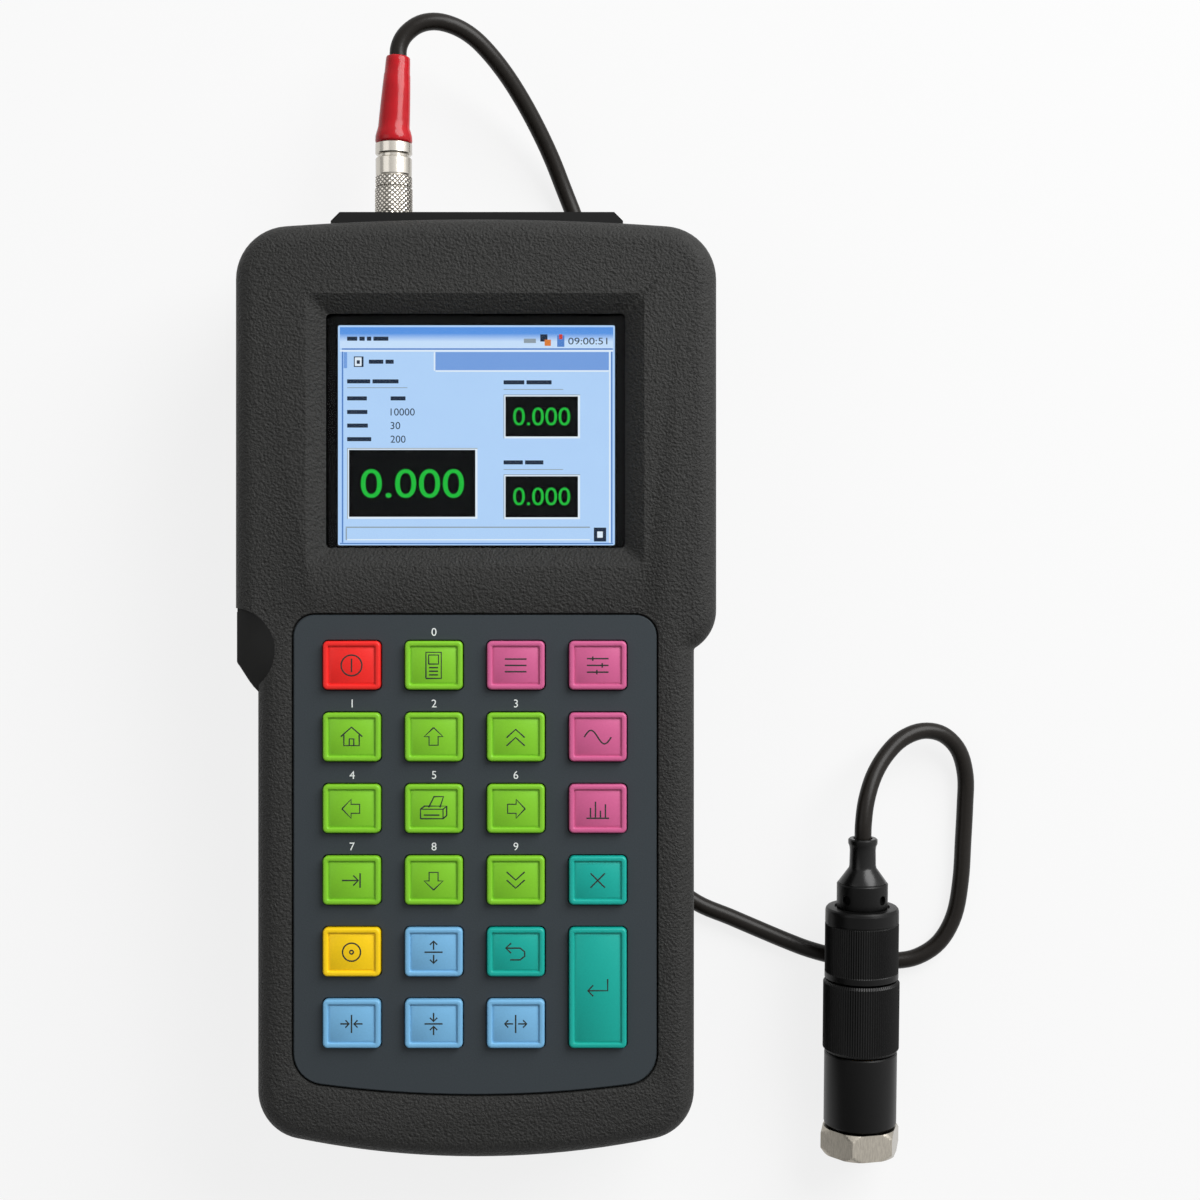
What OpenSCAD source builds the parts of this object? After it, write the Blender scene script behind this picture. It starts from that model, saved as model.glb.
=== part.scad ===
// Handheld vibration meter with a corded magnetic sensor.
// The meter lies on its back: +X to its right, +Y towards its connector end, +Z out of its face.
// The origin is at the middle of the heel foot, on the surface that the meter rests on.

/* [Case] */
// Width of the head, at the display
head_w = 107.8; // [104:0.2:114]
// Width of the grip, at the keypad
grip_w = 97.8; // [94:0.2:101]
// Length of the case from end to end
case_len = 210.2; // [206:0.2:230]
// Depth of the case from its back to its face
case_depth = 36.8; // [35:0.2:42]
// Distance from the lower end of the case to the middle of the heel foot
heel_inset = 12; // [10:0.5:14]
// Thickness of the side walls
wall = 2.4; // [2:0.1:2.8]
// Thickness of the front wall
face_wall = 2.6; // [2.4:0.1:3]
// Radius of the rounded edge all round the face and the back
edge_r = 4.8; // [3:0.2:5.2]
// Height of the parting line above the back
split_h = 16.8; // [15.5:0.2:18]
// Distance from the upper end of the case to the foot of the head's straight side
shoulder_drop = 87.7; // [84:0.1:91]
// Play left round a piece that sits in a recess
fit_gap = 0.2; // [0.1:0.05:0.3]

/* [Screen] */
// Width of the lit area
lcd_w = 62.4; // [58:0.2:64]
// Height of the lit area
lcd_h = 49.6; // [46:0.2:50.6]
// Width of the window opening
window_w = 65.9; // [64.6:0.1:68]
// Height of the window opening
window_h = 51.4; // [51:0.1:54]
// Distance from the upper end of the case to the middle of the window
window_drop = 47.6; // [46:0.2:50]
// Depth of the window below the face
window_sink = 2.8; // [2.2:0.1:3.2]
// Width of the sloped frame round the window
slope_w = 4.7; // [3.6:0.1:5.4]
// Thickness of the window
window_t = 1.5; // [1:0.1:1.8]
// Thickness of the display panel
lcd_t = 2.8; // [2:0.1:3.2]

/* [Keypad] */
// Width of the keypad plate
plate_w = 80.8; // [79:0.2:82]
// Length of the keypad plate
plate_len = 106.7; // [105:0.1:108]
// Distance from the lower end of the case to the lower end of the keypad plate
plate_margin = 14.8; // [14:0.1:16]
// Thickness of the keypad plate
plate_t = 1.2; // [0.8:0.1:1.3]
// Width of a key
key_w = 12.8; // [11.6:0.1:13.4]
// Height of a key
key_h = 10.8; // [9.8:0.1:11.4]
// Distance between neighbouring keys across the keypad
key_pitch_x = 18.2; // [17.6:0.1:18.8]
// Distance between neighbouring keys along the keypad
key_pitch_y = 15.9; // [15.4:0.1:16.2]
// Distance from the upper end of the plate to the middle of the first row of keys
first_row_drop = 11.2; // [10.4:0.1:12]
// Height of a key above the plate
key_rise = 1.5; // [1.1:0.1:2]
// How far a key travels
key_travel = 1; // [0.6:0.1:1.2]

/* [Connector end] */
// Width of the connector plate
panel_w = 66; // [62:0.5:70]
// Height of the connector plate
panel_h = 24; // [22:0.5:26]
// How far the connector plate stands out of the case
panel_rise = 2.2; // [1.6:0.1:3]
// Distance from the middle of the plate to each channel socket
socket_x = 20; // [18:0.5:22]
// Radius of a socket's barrel
socket_r = 5.2; // [5:0.1:5.8]
// Radius of a socket's bore
socket_bore_r = 3.6; // [3.4:0.1:3.8]
// Depth of a socket's bore
socket_bore_depth = 9; // [8.4:0.2:10]

/* [Plug] */
// Radius of the knurled latch sleeve
sleeve_r = 4.3; // [4.2:0.05:4.8]
// Length of the latch sleeve
sleeve_len = 14.4; // [12:0.2:16]
// How far the latch sleeve slides back
sleeve_travel = 0.5; // [0.3:0.1:0.6]
// Length of the nut behind the sleeve
nut_len = 2.8; // [2:0.2:4]
// Length of the red boot
boot_len = 20.1; // [18:0.1:21]

/* [Cable] */
// Diameter of the sensor cable
cable_d = 4; // [3.6:0.1:4.2]

/* [Sensor] */
// Distance from the meter's middle line to the sensor
sensor_x = 89.7; // [86:0.1:94]
// Place of the sensor's magnet face along the meter
sensor_y = -18.4; // [-22:0.1:-16]
// Tilt of the sensor, held up by the cable that passes below it
sensor_tilt = 4.8; // [4.6:0.1:6]
// Turn of the hexagonal base about the sensor's axis
hex_turn = 13; // [-20:1:20]
// Width across the flats of the hexagonal base
hex_af = 17; // [16.4:0.1:18]
// Length of the hexagonal base
hex_len = 6.4; // [5.4:0.2:8]
// Radius of the lower body
body_r = 8.6; // [8.2:0.1:8.8]
// Length of the lower body that shows
body_len = 17.6; // [15:0.2:20]
// Radius of the fluted grip sleeve
grip_r = 9; // [8.9:0.1:9.3]
// Length of the fluted grip sleeve
grip_len = 17.2; // [16:0.2:18]
// Radius of the upper housing
upper_r = 8.7; // [8:0.1:8.8]
// Length of the upper housing
upper_len = 17; // [16:0.2:20]

/* [Hidden] */

// Clear space for the cable under the case, and how far the rubber feet stand out
cable_room = 1.2;
foot_rise = 0.8;
// Length by which a cut runs past the surface that it opens
over = 0.5;
// Gap between two pieces that seat on each other
seat_gap = 0.15;
// Radial play of a running fit and of a pressed one
run_gap = 0.08;
press_gap = 0.02;

// Heights of the case
back_z = cable_d + cable_room;
face_z = back_z + case_depth;
split_z = back_z + split_h;
inner_back_z = back_z + wall;
inner_face_z = face_z - face_wall;
// Ends of the case
low_y = -heel_inset;
high_y = case_len - heel_inset;
shoulder_y = high_y - shoulder_drop;

// Radii of the outline: ends, corners, and the two bends of each shoulder
low_crown_r = 200;
low_corner_r = 11;
high_crown_r = 600;
high_corner_r = 12;
shoulder_r = 9.94;
waist_r = 0.8;
// Steps of each arc of the outline and of the rounded edge
arc_steps = 5;
edge_steps = 4;

// Points of an arc, first and last included; skip = 1 leaves out the first
function arc(centre, r, from, to, skip = 0) = [
    for (i = [skip:arc_steps])
        let (a = from + (to - from) * i / arc_steps)
            centre + r * [cos(a), sin(a)]
];
// The right half of an outline and its mirror image, joined
function both_sides(half) = concat(
    half,
    [for (i = [len(half) - 2:-1:1]) [-half[i][0], half[i][1]]]
);
// The middle of a corner's arc, tangent to an end's arc of radius crown_r and to a side
function lean(side, crown_r, corner_r) = asin((side - corner_r) / (crown_r - corner_r));

// Outline of the case, drawn in by inset
function case_half(inset) =
    let (
        head = head_w / 2,
        grip = grip_w / 2,
        low_lean = lean(grip, low_crown_r, low_corner_r),
        high_lean = lean(head, high_crown_r, high_corner_r),
        bend = shoulder_r + waist_r,
        turn = acos(1 - (head - grip) / bend),
        low_mid = low_y + low_crown_r - (low_crown_r - low_corner_r) * cos(low_lean),
        high_mid = high_y - high_crown_r + (high_crown_r - high_corner_r) * cos(high_lean)
    )
    concat(
        arc([0, low_y + low_crown_r], low_crown_r - inset, -90, low_lean - 90),
        arc([grip - low_corner_r, low_mid], low_corner_r - inset, low_lean - 90, 0, 1),
        arc([grip + waist_r, shoulder_y - bend * sin(turn)], waist_r + inset, 180, 180 - turn),
        arc([head - shoulder_r, shoulder_y], shoulder_r - inset, -turn, 0, 1),
        arc([head - high_corner_r, high_mid], high_corner_r - inset, 0, 90 - high_lean),
        arc([0, high_y - high_crown_r], high_crown_r - inset, 90 - high_lean, 90, 1)
    );
function case_outline(inset) = both_sides(case_half(inset));

// A solid skinned over a stack of rings of equal point counts, from the lowest up
module stack(rings) {
    n = len(rings[0]);
    last = (len(rings) - 1) * n;
    sides = [
        for (k = [0:len(rings) - 2], i = [0:n - 1], half = [0, 1])
            let (j = (i + 1) % n)
                half == 0
                    ? [k * n + i, (k + 1) * n + i, k * n + j]
                    : [k * n + j, (k + 1) * n + i, (k + 1) * n + j]
    ];
    polyhedron(
        points = [for (ring = rings) each ring],
        faces = concat(
            [[for (i = [0:n - 1]) i]],
            sides,
            [[for (i = [n - 1:-1:0]) last + i]]
        )
    );
}
function lifted(points, z) = [for (p = points) [p[0], p[1], z]];
// What the rounded edge leaves out of a block with the case's outline, all round a face at flat_z.
// out is 1 for the upper face and -1 for the lower one. The arc starts and ends just outside the block.
edge_skin = 0.02;
module edge_cutter(flat_z, out) {
    section = concat(
        [
            for (k = [0:edge_steps])
                let (a = 90 * k / edge_steps)
                    [edge_r * (1 - cos(a)) - edge_skin, edge_skin - edge_r * (1 - sin(a))]
        ],
        [[edge_r - edge_skin, over], [-over, over], [-over, edge_skin - edge_r]]
    );
    n = len(case_outline(0));
    m = len(section);
    polyhedron(
        points = [for (q = section) each lifted(case_outline(q[0]), flat_z + out * q[1])],
        faces = [
            for (k = [0:m - 1], i = [0:n - 1], half = [0, 1])
                let (
                    j = (i + 1) % n,
                    next = (k + 1) % m,
                    low = half == 0 ? k * n + i : k * n + j,
                    high = half == 0 ? k * n + j : next * n + j
                )
                    out > 0 ? [high, next * n + i, low] : [low, next * n + i, high]
        ]
    );
}
module case_block(z0, z1) {
    translate([0, 0, z0]) linear_extrude(z1 - z0) polygon(case_outline(0));
}

// Rounded rectangle about the origin
function box_points(w, h, r) =
    let (x = w / 2 - r, y = h / 2 - r)
        [
            for (q = [[x, y, 0], [-x, y, 90], [-x, -y, 180], [x, -y, 270]])
                each [
                    for (i = [0:corner_steps])
                        let (a = q[2] + 90 * i / corner_steps)
                            [q[0] + r * cos(a), q[1] + r * sin(a)]
                ]
        ];
corner_steps = 5;
module slab(w, h, r, z0, z1) {
    translate([0, 0, z0]) linear_extrude(z1 - z0) polygon(box_points(w, h, r));
}
// A cylinder along +Z between two heights, and one along +Y between two places
module post(r, z0, z1) {
    translate([0, 0, z0]) cylinder(r = r, h = z1 - z0, $fn = 48);
}
module rod(r, y0, y1) {
    translate([0, y0, 0]) rotate([-90, 0, 0]) cylinder(r = r, h = y1 - y0, $fn = 48);
}
// A tapered length along +Y
module cone(r0, r1, y0, y1) {
    translate([0, y0, 0]) rotate([-90, 0, 0]) cylinder(r1 = r0, r2 = r1, h = y1 - y0, $fn = 48);
}
module tube(r, bore, y0, y1) {
    difference() {
        rod(r, y0, y1);
        rod(bore, y0 - over, y1 + over);
    }
}
module mirrored() {
    children();
    mirror([1, 0, 0]) children();
}

// Case screws: places as distances from the case's own ends and sides
screw_r = 1.5;
screw_hole_r = screw_r + run_gap;
screw_head_r = 2.8;
screw_head_h = 2;
boss_r = 3.6;
screw_edge = 8.9;
high_screw_inset = 14;
mid_screw_rise = 4.5;
low_screw_inset = 13.5;
case_screws_at = [
    [head_w / 2 - screw_edge, high_y - high_screw_inset],
    [head_w / 2 - screw_edge, shoulder_y + mid_screw_rise],
    [grip_w / 2 - low_corner_r, low_y + low_screw_inset]
];
screw_well = 3;
screw_seat_z = back_z + screw_well;
// Height above the parting line at which the bosses of the two shells meet
boss_joint_rise = 4;
boss_joint_z = split_z + boss_joint_rise;
// Solid stock beyond a screw's hole, and hole beyond its tip
screw_cover = 4;
screw_spare = 1;

// Rear of the case: rails under the head and a heel under the grip leave the cable room
rail_w = 9;
rail_len = 56;
rail_margin = 0.6;
rail_r = 3;
rail_x = head_w / 2 - edge_r - rail_w / 2 - rail_margin;
rail_y = (case_screws_at[0][1] + case_screws_at[1][1]) / 2;
heel_w = 44;
heel_d = 11;
foot_t = 1.2;
foot_edge = 2;
foot_sizes = [
    [-rail_x, rail_y, rail_w - 2 * foot_edge, rail_len - 2 * foot_edge],
    [rail_x, rail_y, rail_w - 2 * foot_edge, rail_len - 2 * foot_edge],
    [0, 0, heel_w - 2 * foot_edge, heel_d - 2 * foot_edge]
];
foot_r = 2;

// Battery bay, in the middle of the grip
cell_w = 56;
cell_len = 70;
cell_t = 15;
cell_r = 3;
bay_wall = 1.6;
bay_r = 1;
bay_rise = 65;
bay_y = low_y + bay_rise;
cover_t = 2;
cover_side_lip = 1.5;
cover_end_lip = 3;
cover_w = cell_w + 2 * (bay_wall + cover_side_lip);
cover_len = cell_len + 2 * (bay_wall + cover_end_lip);
cover_r = 4;
ledge_z = back_z + cover_t + bay_wall;
cover_screw_r = 1.2;
cover_head_r = 2.2;
cover_screw_edge = 2.3;
cover_screw_y = cell_len / 2 + cover_screw_edge;
cover_post_h = 5;
cover_hole_h = 4;

// Screen stack, from the face down
window_y = high_y - window_drop;
window_z = face_z - window_sink;
window_r = 1;
slope_r = 1.4;
lip_t = 1;
window_edge = 1.6;
glass_w = window_w + 2 * window_edge;
glass_h = window_h + 2 * window_edge;
glass_top = window_z - lip_t;
glass_low = glass_top - window_t;
// The lit area sits low in the window, so the black border shows on three sides
lcd_y = window_y - (window_h - lcd_h) / 2 + seat_gap;
lcd_r = 0.5;
tray_r = 1;
tray_wall = 2.4;
tray_t = 1.2;
tray_rim = 0.5;
panel_top = glass_low - tray_rim - seat_gap;
panel_low = panel_top - lcd_t;
tray_low = panel_low - tray_t;
pocket_wall = 2.2;
pocket_r = 2;
tray_w = lcd_w + 2 * tray_wall;
tray_h = lcd_h + 2 * tray_wall;
pocket_w = max(glass_w, tray_w) + 4 * fit_gap;
pocket_h = max(glass_h, tray_h + 2 * (window_y - lcd_y)) + 4 * fit_gap;
pocket_z = tray_low;

// Keypad stack, from the face down
plate_y0 = low_y + plate_margin;
plate_y1 = plate_y0 + plate_len;
plate_top = face_z - fit_gap;
plate_low = plate_top - plate_t;
plate_gap = 0.35;
plate_high_r = 4.7;
plate_low_r = 7;
plate_crown_r = 260;
key_r = 1;
key_gap = 0.25;
key_rim_w = 1.1;
key_dish = 0.4;
key_top = plate_top + key_rise;
flange_edge = 0.9;
flange_t = 1;
flange_top = inner_face_z - seat_gap;
flange_low = flange_top - flange_t;
dome_top = flange_low - key_travel - seat_gap;
dome_h = 1.2;
dome_r = 4;
mat_t = 1;
mat_top = dome_top - dome_h;
board_top = mat_top - mat_t;
board_t = 1.6;
board_side_margin = 1.6;
board_end_margin = 2.4;
keyboard_w = plate_w - 2 * board_side_margin;
keyboard_len = plate_len - 2 * board_end_margin;
keyboard_y = (plate_y0 + plate_y1) / 2;
keyboard_r = 4;
key_boss_r = 2;
key_boss_hole = 4;
// Name, column, row, rows that it is high, and colour
KEYS = [
    ["key_power", 0, 0, 1, "#e42b27"],
    ["key_device", 1, 0, 1, "#79bf2c"],
    ["key_menu", 2, 0, 1, "#d0609a"],
    ["key_setup", 3, 0, 1, "#d0609a"],
    ["key_home", 0, 1, 1, "#79bf2c"],
    ["key_up", 1, 1, 1, "#79bf2c"],
    ["key_page_up", 2, 1, 1, "#79bf2c"],
    ["key_mode", 3, 1, 1, "#d0609a"],
    ["key_left", 0, 2, 1, "#79bf2c"],
    ["key_print", 1, 2, 1, "#79bf2c"],
    ["key_right", 2, 2, 1, "#79bf2c"],
    ["key_data", 3, 2, 1, "#d0609a"],
    ["key_end", 0, 3, 1, "#79bf2c"],
    ["key_down", 1, 3, 1, "#79bf2c"],
    ["key_page_down", 2, 3, 1, "#79bf2c"],
    ["key_delete", 3, 3, 1, "#24b09d"],
    ["key_second", 0, 4, 1, "#eec41c"],
    ["key_height_up", 1, 4, 1, "#7aaed8"],
    ["key_back", 2, 4, 1, "#24b09d"],
    ["key_enter", 3, 4, 2, "#24b09d"],
    ["key_width_down", 0, 5, 1, "#7aaed8"],
    ["key_height_down", 1, 5, 1, "#7aaed8"],
    ["key_width_up", 2, 5, 1, "#7aaed8"]
];
function key_x(k) = (k[1] - 1.5) * key_pitch_x;
function key_y(k) = plate_y1 - first_row_drop - (k[2] + (k[3] - 1) / 2) * key_pitch_y;
function key_height(k) = key_h + (k[3] - 1) * key_pitch_y;

// Outline of the keypad plate, grown by edge
function plate_outline(edge) =
    let (
        side = plate_w / 2,
        low_lean = lean(side, plate_crown_r, plate_low_r),
        low_mid = plate_y0 + plate_crown_r - (plate_crown_r - plate_low_r) * cos(low_lean)
    )
    both_sides(concat(
        arc([0, plate_y0 + plate_crown_r], plate_crown_r + edge, -90, low_lean - 90),
        arc([side - plate_low_r, low_mid], plate_low_r + edge, low_lean - 90, 0, 1),
        arc([side - plate_high_r, plate_y1 - plate_high_r], plate_high_r + edge, 0, 90),
        [[0, plate_y1 + edge]]
    ));

// Main board, on pillars of the rear shell
main_w = 78;
main_len = 62;
main_shift = 2;
main_y = window_y - main_shift;
main_t = 1.6;
main_r = 2;
main_drop = 3;
main_z = split_z - main_drop;
// Processor, memory and converter: places and sizes as shares of the board's width and length
chip_shares = [
    [-0.15, 0.1, 0.2, 0.26],
    [0.15, 0.13, 0.13, 0.22],
    [0.13, -0.22, 0.18, 0.15]
];
chip_h = 1.3;
chip_r = 0.5;
pillar_floor = 1;
pillar_r = 3;
pillar_inset = 5;
board_screw_r = 1.1;
board_head_r = 2;
board_head_h = 1.4;
main_screws_at = [
    for (x = [-1, 1], y = [-1, 1])
        [x * (main_w / 2 - pillar_inset), main_y + y * (main_len / 2 - pillar_inset)]
];
// Bosses stand in the gaps below the first and the fourth row of keys
keyboard_screw_edge = 2.6;
keyboard_screws_at = [
    for (x = [-1, 1], y = [-1, 1])
        [x * (keyboard_w / 2 - keyboard_screw_edge), plate_y1 - first_row_drop - (2 + 1.5 * y) * key_pitch_y]
];

// Connector end
panel_sink = 0.6;
panel_z = back_z + case_depth / 2 - panel_sink;
panel_out = high_y + panel_rise;
panel_chamfer = 2;
panel_flange = 2;
panel_flange_t = 1.7;
panel_tuck = 1.2;
panel_in = high_y - wall - panel_tuck - panel_flange_t;
socket_len = 16.4;
hex_nut_af = 13;
hex_nut_t = 2.4;
port_w = 8;
port_h = 3.6;
port_len = 9;
port_sink = 0.6;
port_shell = 0.9;
port_depth = 5;

// Plug, on the axis of channel 1
nose_play = 0.1;
nose_r = socket_bore_r - nose_play;
nose_wall = 0.6;
nose_floor = 1;
nose_short = 0.4;
nose_len = socket_bore_depth - nose_short;
sleeve_wall = 1;
stem_r = sleeve_r - sleeve_wall;
sleeve_step = 0.1;
sleeve_chamfer = 0.6;
sleeve_band = 3.2;
nut_gap = 0.1;
plug_gap = 0.4;
sleeve_y0 = panel_out + plug_gap;
sleeve_y1 = sleeve_y0 + sleeve_len;
nut_y0 = sleeve_y1 + sleeve_travel + nut_gap;
nut_y1 = nut_y0 + nut_len;
boot_y0 = nut_y1;
boot_collar = 3;
boot_lean = 3.5;
boot_mid_r = 3.65;
boot_end_r = 2.8;
boot_step = 0.1;
boot_tuck = 0.4;
boot_taper = 1;
// The cable's end sits in a short seat
cable_seat = 2;
cable_play = 0.12;

// Sensor, measured along its axis from the magnet face
hex_corner_r = hex_af / sqrt(3);
// The lowest corner of the turned hexagon rests on the table
hex_low = hex_corner_r * max([for (k = [0:5]) -cos(hex_turn + 30 + 60 * k)]);
sensor_z = hex_low * cos(sensor_tilt) + seat_gap / 3;
rotor_gap = 0.3;
body_d0 = hex_len + rotor_gap;
body_d1 = body_d0 + body_len;
grip_d0 = body_d1 + rotor_gap;
grip_d1 = grip_d0 + grip_len;
upper_d0 = grip_d1 + rotor_gap;
upper_d1 = upper_d0 + upper_len;
collar_len = 5.8;
collar_d1 = upper_d1 + collar_len;
cone_len = 3.5;
cone_d1 = collar_d1 + cone_len;
neck_len = 5.6;
neck_d1 = cone_d1 + neck_len;
gland_rim_len = 1.4;
gland_d1 = neck_d1 + gland_rim_len;
grip_wall = 2.6;
spigot_r = grip_r - grip_wall;
spigot_reach = 4;
spigot_d1 = upper_d0 + spigot_reach;
spigot_wall = 1.2;
cavity_r = spigot_r - spigot_wall;
upper_floor = 4;
cone_step = 0.4;
collar_r = 6;
neck_r = 3.2;
gland_rim_r = 3.45;
stud_r = 2.4;
stud_d0 = 3.4;
stud_hold = 4.6;
stud_d1 = body_d0 + stud_hold;
cavity_rise = 3;
cavity_d0 = stud_d1 + cavity_rise;
hex_chamfer = 1;
hex_chamfer_len = 1.4;
magnet_r = 6.4;
magnet_t = 2.9;

// The cable's centre line: out of the boot, round to the table, under the case, under the sensor
// and up to the gland
cable_route = [
    [-19.0, 237.6, 23.0],
    [-18.8, 241.0, 23.0],
    [-17.2, 244.0, 22.9],
    [-14.0, 246.4, 22.6],
    [-10.0, 247.2, 21.8],
    [-5.6, 246.3, 20.5],
    [-1.6, 244.2, 18.8],
    [2.2, 240.8, 16.6],
    [6.0, 236.4, 13.8],
    [9.6, 231.2, 10.8],
    [13.0, 225.4, 7.9],
    [16.2, 219.0, 5.2],
    [19.0, 212.2, 3.2],
    [21.8, 205.2, 2.2],
    [24.6, 198.0, 2.0],
    [28.2, 186.0, 2.0],
    [31.2, 170.0, 2.0],
    [32.8, 152.0, 2.0],
    [33.0, 134.0, 2.0],
    [32.4, 116.0, 2.0],
    [31.8, 98.0, 2.0],
    [32.2, 82.0, 2.0],
    [34.0, 67.0, 2.0],
    [37.8, 54.6, 2.0],
    [43.6, 45.6, 2.0],
    [51.0, 39.6, 2.0],
    [59.4, 36.0, 2.0],
    [66.4, 33.0, 2.0],
    [72.6, 30.4, 2.0],
    [78.4, 28.2, 2.0],
    [84.6, 26.6, 2.0],
    [91.6, 25.8, 2.0],
    [98.6, 25.4, 2.0],
    [104.6, 26.4, 2.0],
    [110.0, 30.0, 2.0],
    [113.6, 36.4, 2.0],
    [115.2, 45.0, 2.0],
    [115.8, 54.6, 2.0],
    [116.2, 63.0, 2.2],
    [116.2, 70.2, 2.8],
    [114.4, 76.4, 3.8],
    [110.4, 80.4, 5.2],
    [105.2, 81.4, 6.8],
    [100.0, 79.6, 8.6],
    [95.8, 75.8, 10.6],
    [92.6, 71.0, 13.0],
    [90.6, 65.4, 15.0],
    [89.8, 60.2, 15.9],
    [89.7, 56.2, 15.7]
];
cable_sides = 8;

function unit(v) = v / norm(v);
// The direction of the cable at each point of its route
function heading(i) =
    let (last = len(cable_route) - 1)
        i == 0 ? [sin(boot_lean), cos(boot_lean), 0]
        : i == last ? [0, -cos(sensor_tilt), -sin(sensor_tilt)]
        : unit(cable_route[i + 1] - cable_route[i - 1]);
function cable_ring(i) =
    let (
        along = heading(i),
        side = unit(cross(along, [0, 0, 1])),
        up = cross(side, along)
    )
    [
        for (k = [0:cable_sides - 1])
            let (a = 360 * (k + 0.5) / cable_sides)
                cable_route[i] + cable_d / 2 * (cos(a) * side + sin(a) * up)
    ];

module front_shell() {
    color("#2b2b2a")
    difference() {
        union() {
            difference() {
                union() {
                    difference() {
                        case_block(split_z - over, face_z);
                        edge_cutter(face_z, 1);
                    }
                    strap_lug(split_z - 2 * over, face_z - lug_drop);
                }
                translate([0, 0, split_z - 4 * over])
                    linear_extrude(inner_face_z - split_z + 4 * over) polygon(case_outline(wall));
                parting_cut(split_z - 3 * over, split_z);
            }
            translate([0, window_y, 0])
                slab(pocket_w + 2 * pocket_wall, pocket_h + 2 * pocket_wall, pocket_r,
                     pocket_z, inner_face_z + over);
            mirrored() for (p = case_screws_at)
                translate(p) post(boss_r, boss_joint_z, inner_face_z + over);
            for (p = keyboard_screws_at)
                translate(p) post(key_boss_r, board_top, inner_face_z + over);
        }
        // Sloped frame and the window opening
        translate([0, window_y, 0]) {
            screen_slope();
            slab(window_w, window_h, window_r, glass_top - over, window_z + over);
            slab(glass_w + 2 * fit_gap, glass_h + 2 * fit_gap, window_r, glass_low, glass_top);
            slab(pocket_w, pocket_h, tray_r, pocket_z - over, glass_low + fit_gap);
        }
        // Seat of the keypad plate, and an opening for each key
        translate([0, 0, plate_low]) linear_extrude(plate_t + 2 * over) polygon(plate_outline(plate_gap));
        for (k = KEYS)
            key_opening(k, inner_face_z - over, plate_low + over);
        mirrored() for (p = case_screws_at)
            translate(p) post(screw_hole_r, split_z, inner_face_z - screw_cover);
        for (p = keyboard_screws_at)
            translate(p) post(board_screw_r + run_gap, board_top - over, board_top + key_boss_hole);
        connector_opening();
        lug_scoop();
    }
}

// Sloped cut round the window, from the face down to the window opening
module screen_slope() {
    outer = [window_w + 2 * slope_w, window_h + 2 * slope_w];
    stack([
        lifted(box_points(window_w - over, window_h - over, window_r), window_z),
        lifted(box_points(outer[0], outer[1], slope_r), face_z + over * window_sink / slope_w)
    ]);
}

// Everything between two heights round the parting line
module parting_cut(z0, z1) {
    cube_between([-head_w, low_y - wall, z0], [head_w, high_y + wall, z1]);
}

// Lug that fills the left shoulder out to the head's side, and the smooth scoop across its face
lug_r = 10;
lug_proud = 0.15;
lug_drop = 2;
lug_fall = 8.9;
lug_y = shoulder_y - lug_fall;
lug_z0 = back_z + edge_r + over;
lug_low_shares = [[0, 1], [0, -0.26], [0.07, -0.37], [0.3, -0.69]];
module strap_lug(z0, z1) {
    inner = (head_w - grip_w) / 2 + wall / 2;
    translate([-lug_proud - head_w / 2, lug_y, z0])
        linear_extrude(z1 - z0)
            polygon(concat(lug_r * lug_low_shares, [[inner, -lug_r], [inner, lug_r]]));
}
scoop_share = 0.94;
scoop_lean = 28;
scoop_drop = 6;
module lug_scoop() {
    translate([-head_w / 2, lug_y, face_z - scoop_drop])
        intersection() {
            post(scoop_share * lug_r, -over, 2 * scoop_drop);
            rotate([0, -scoop_lean, 0])
                cube_between([-2 * lug_r, -2 * lug_r, 0], [2 * lug_r, 2 * lug_r, 2 * lug_r]);
        }
}

// Opening for the connector plate, cut through the upper end of both shells
module connector_opening() {
    translate([0, 0, panel_z])
        cube_between(
            [-panel_w / 2 - fit_gap, panel_in - fit_gap, -panel_h / 2 - fit_gap],
            [panel_w / 2 + fit_gap, high_y + over, panel_h / 2 + fit_gap]
        );
}
module cube_between(low, high) {
    translate(low) cube(high - low);
}

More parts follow.
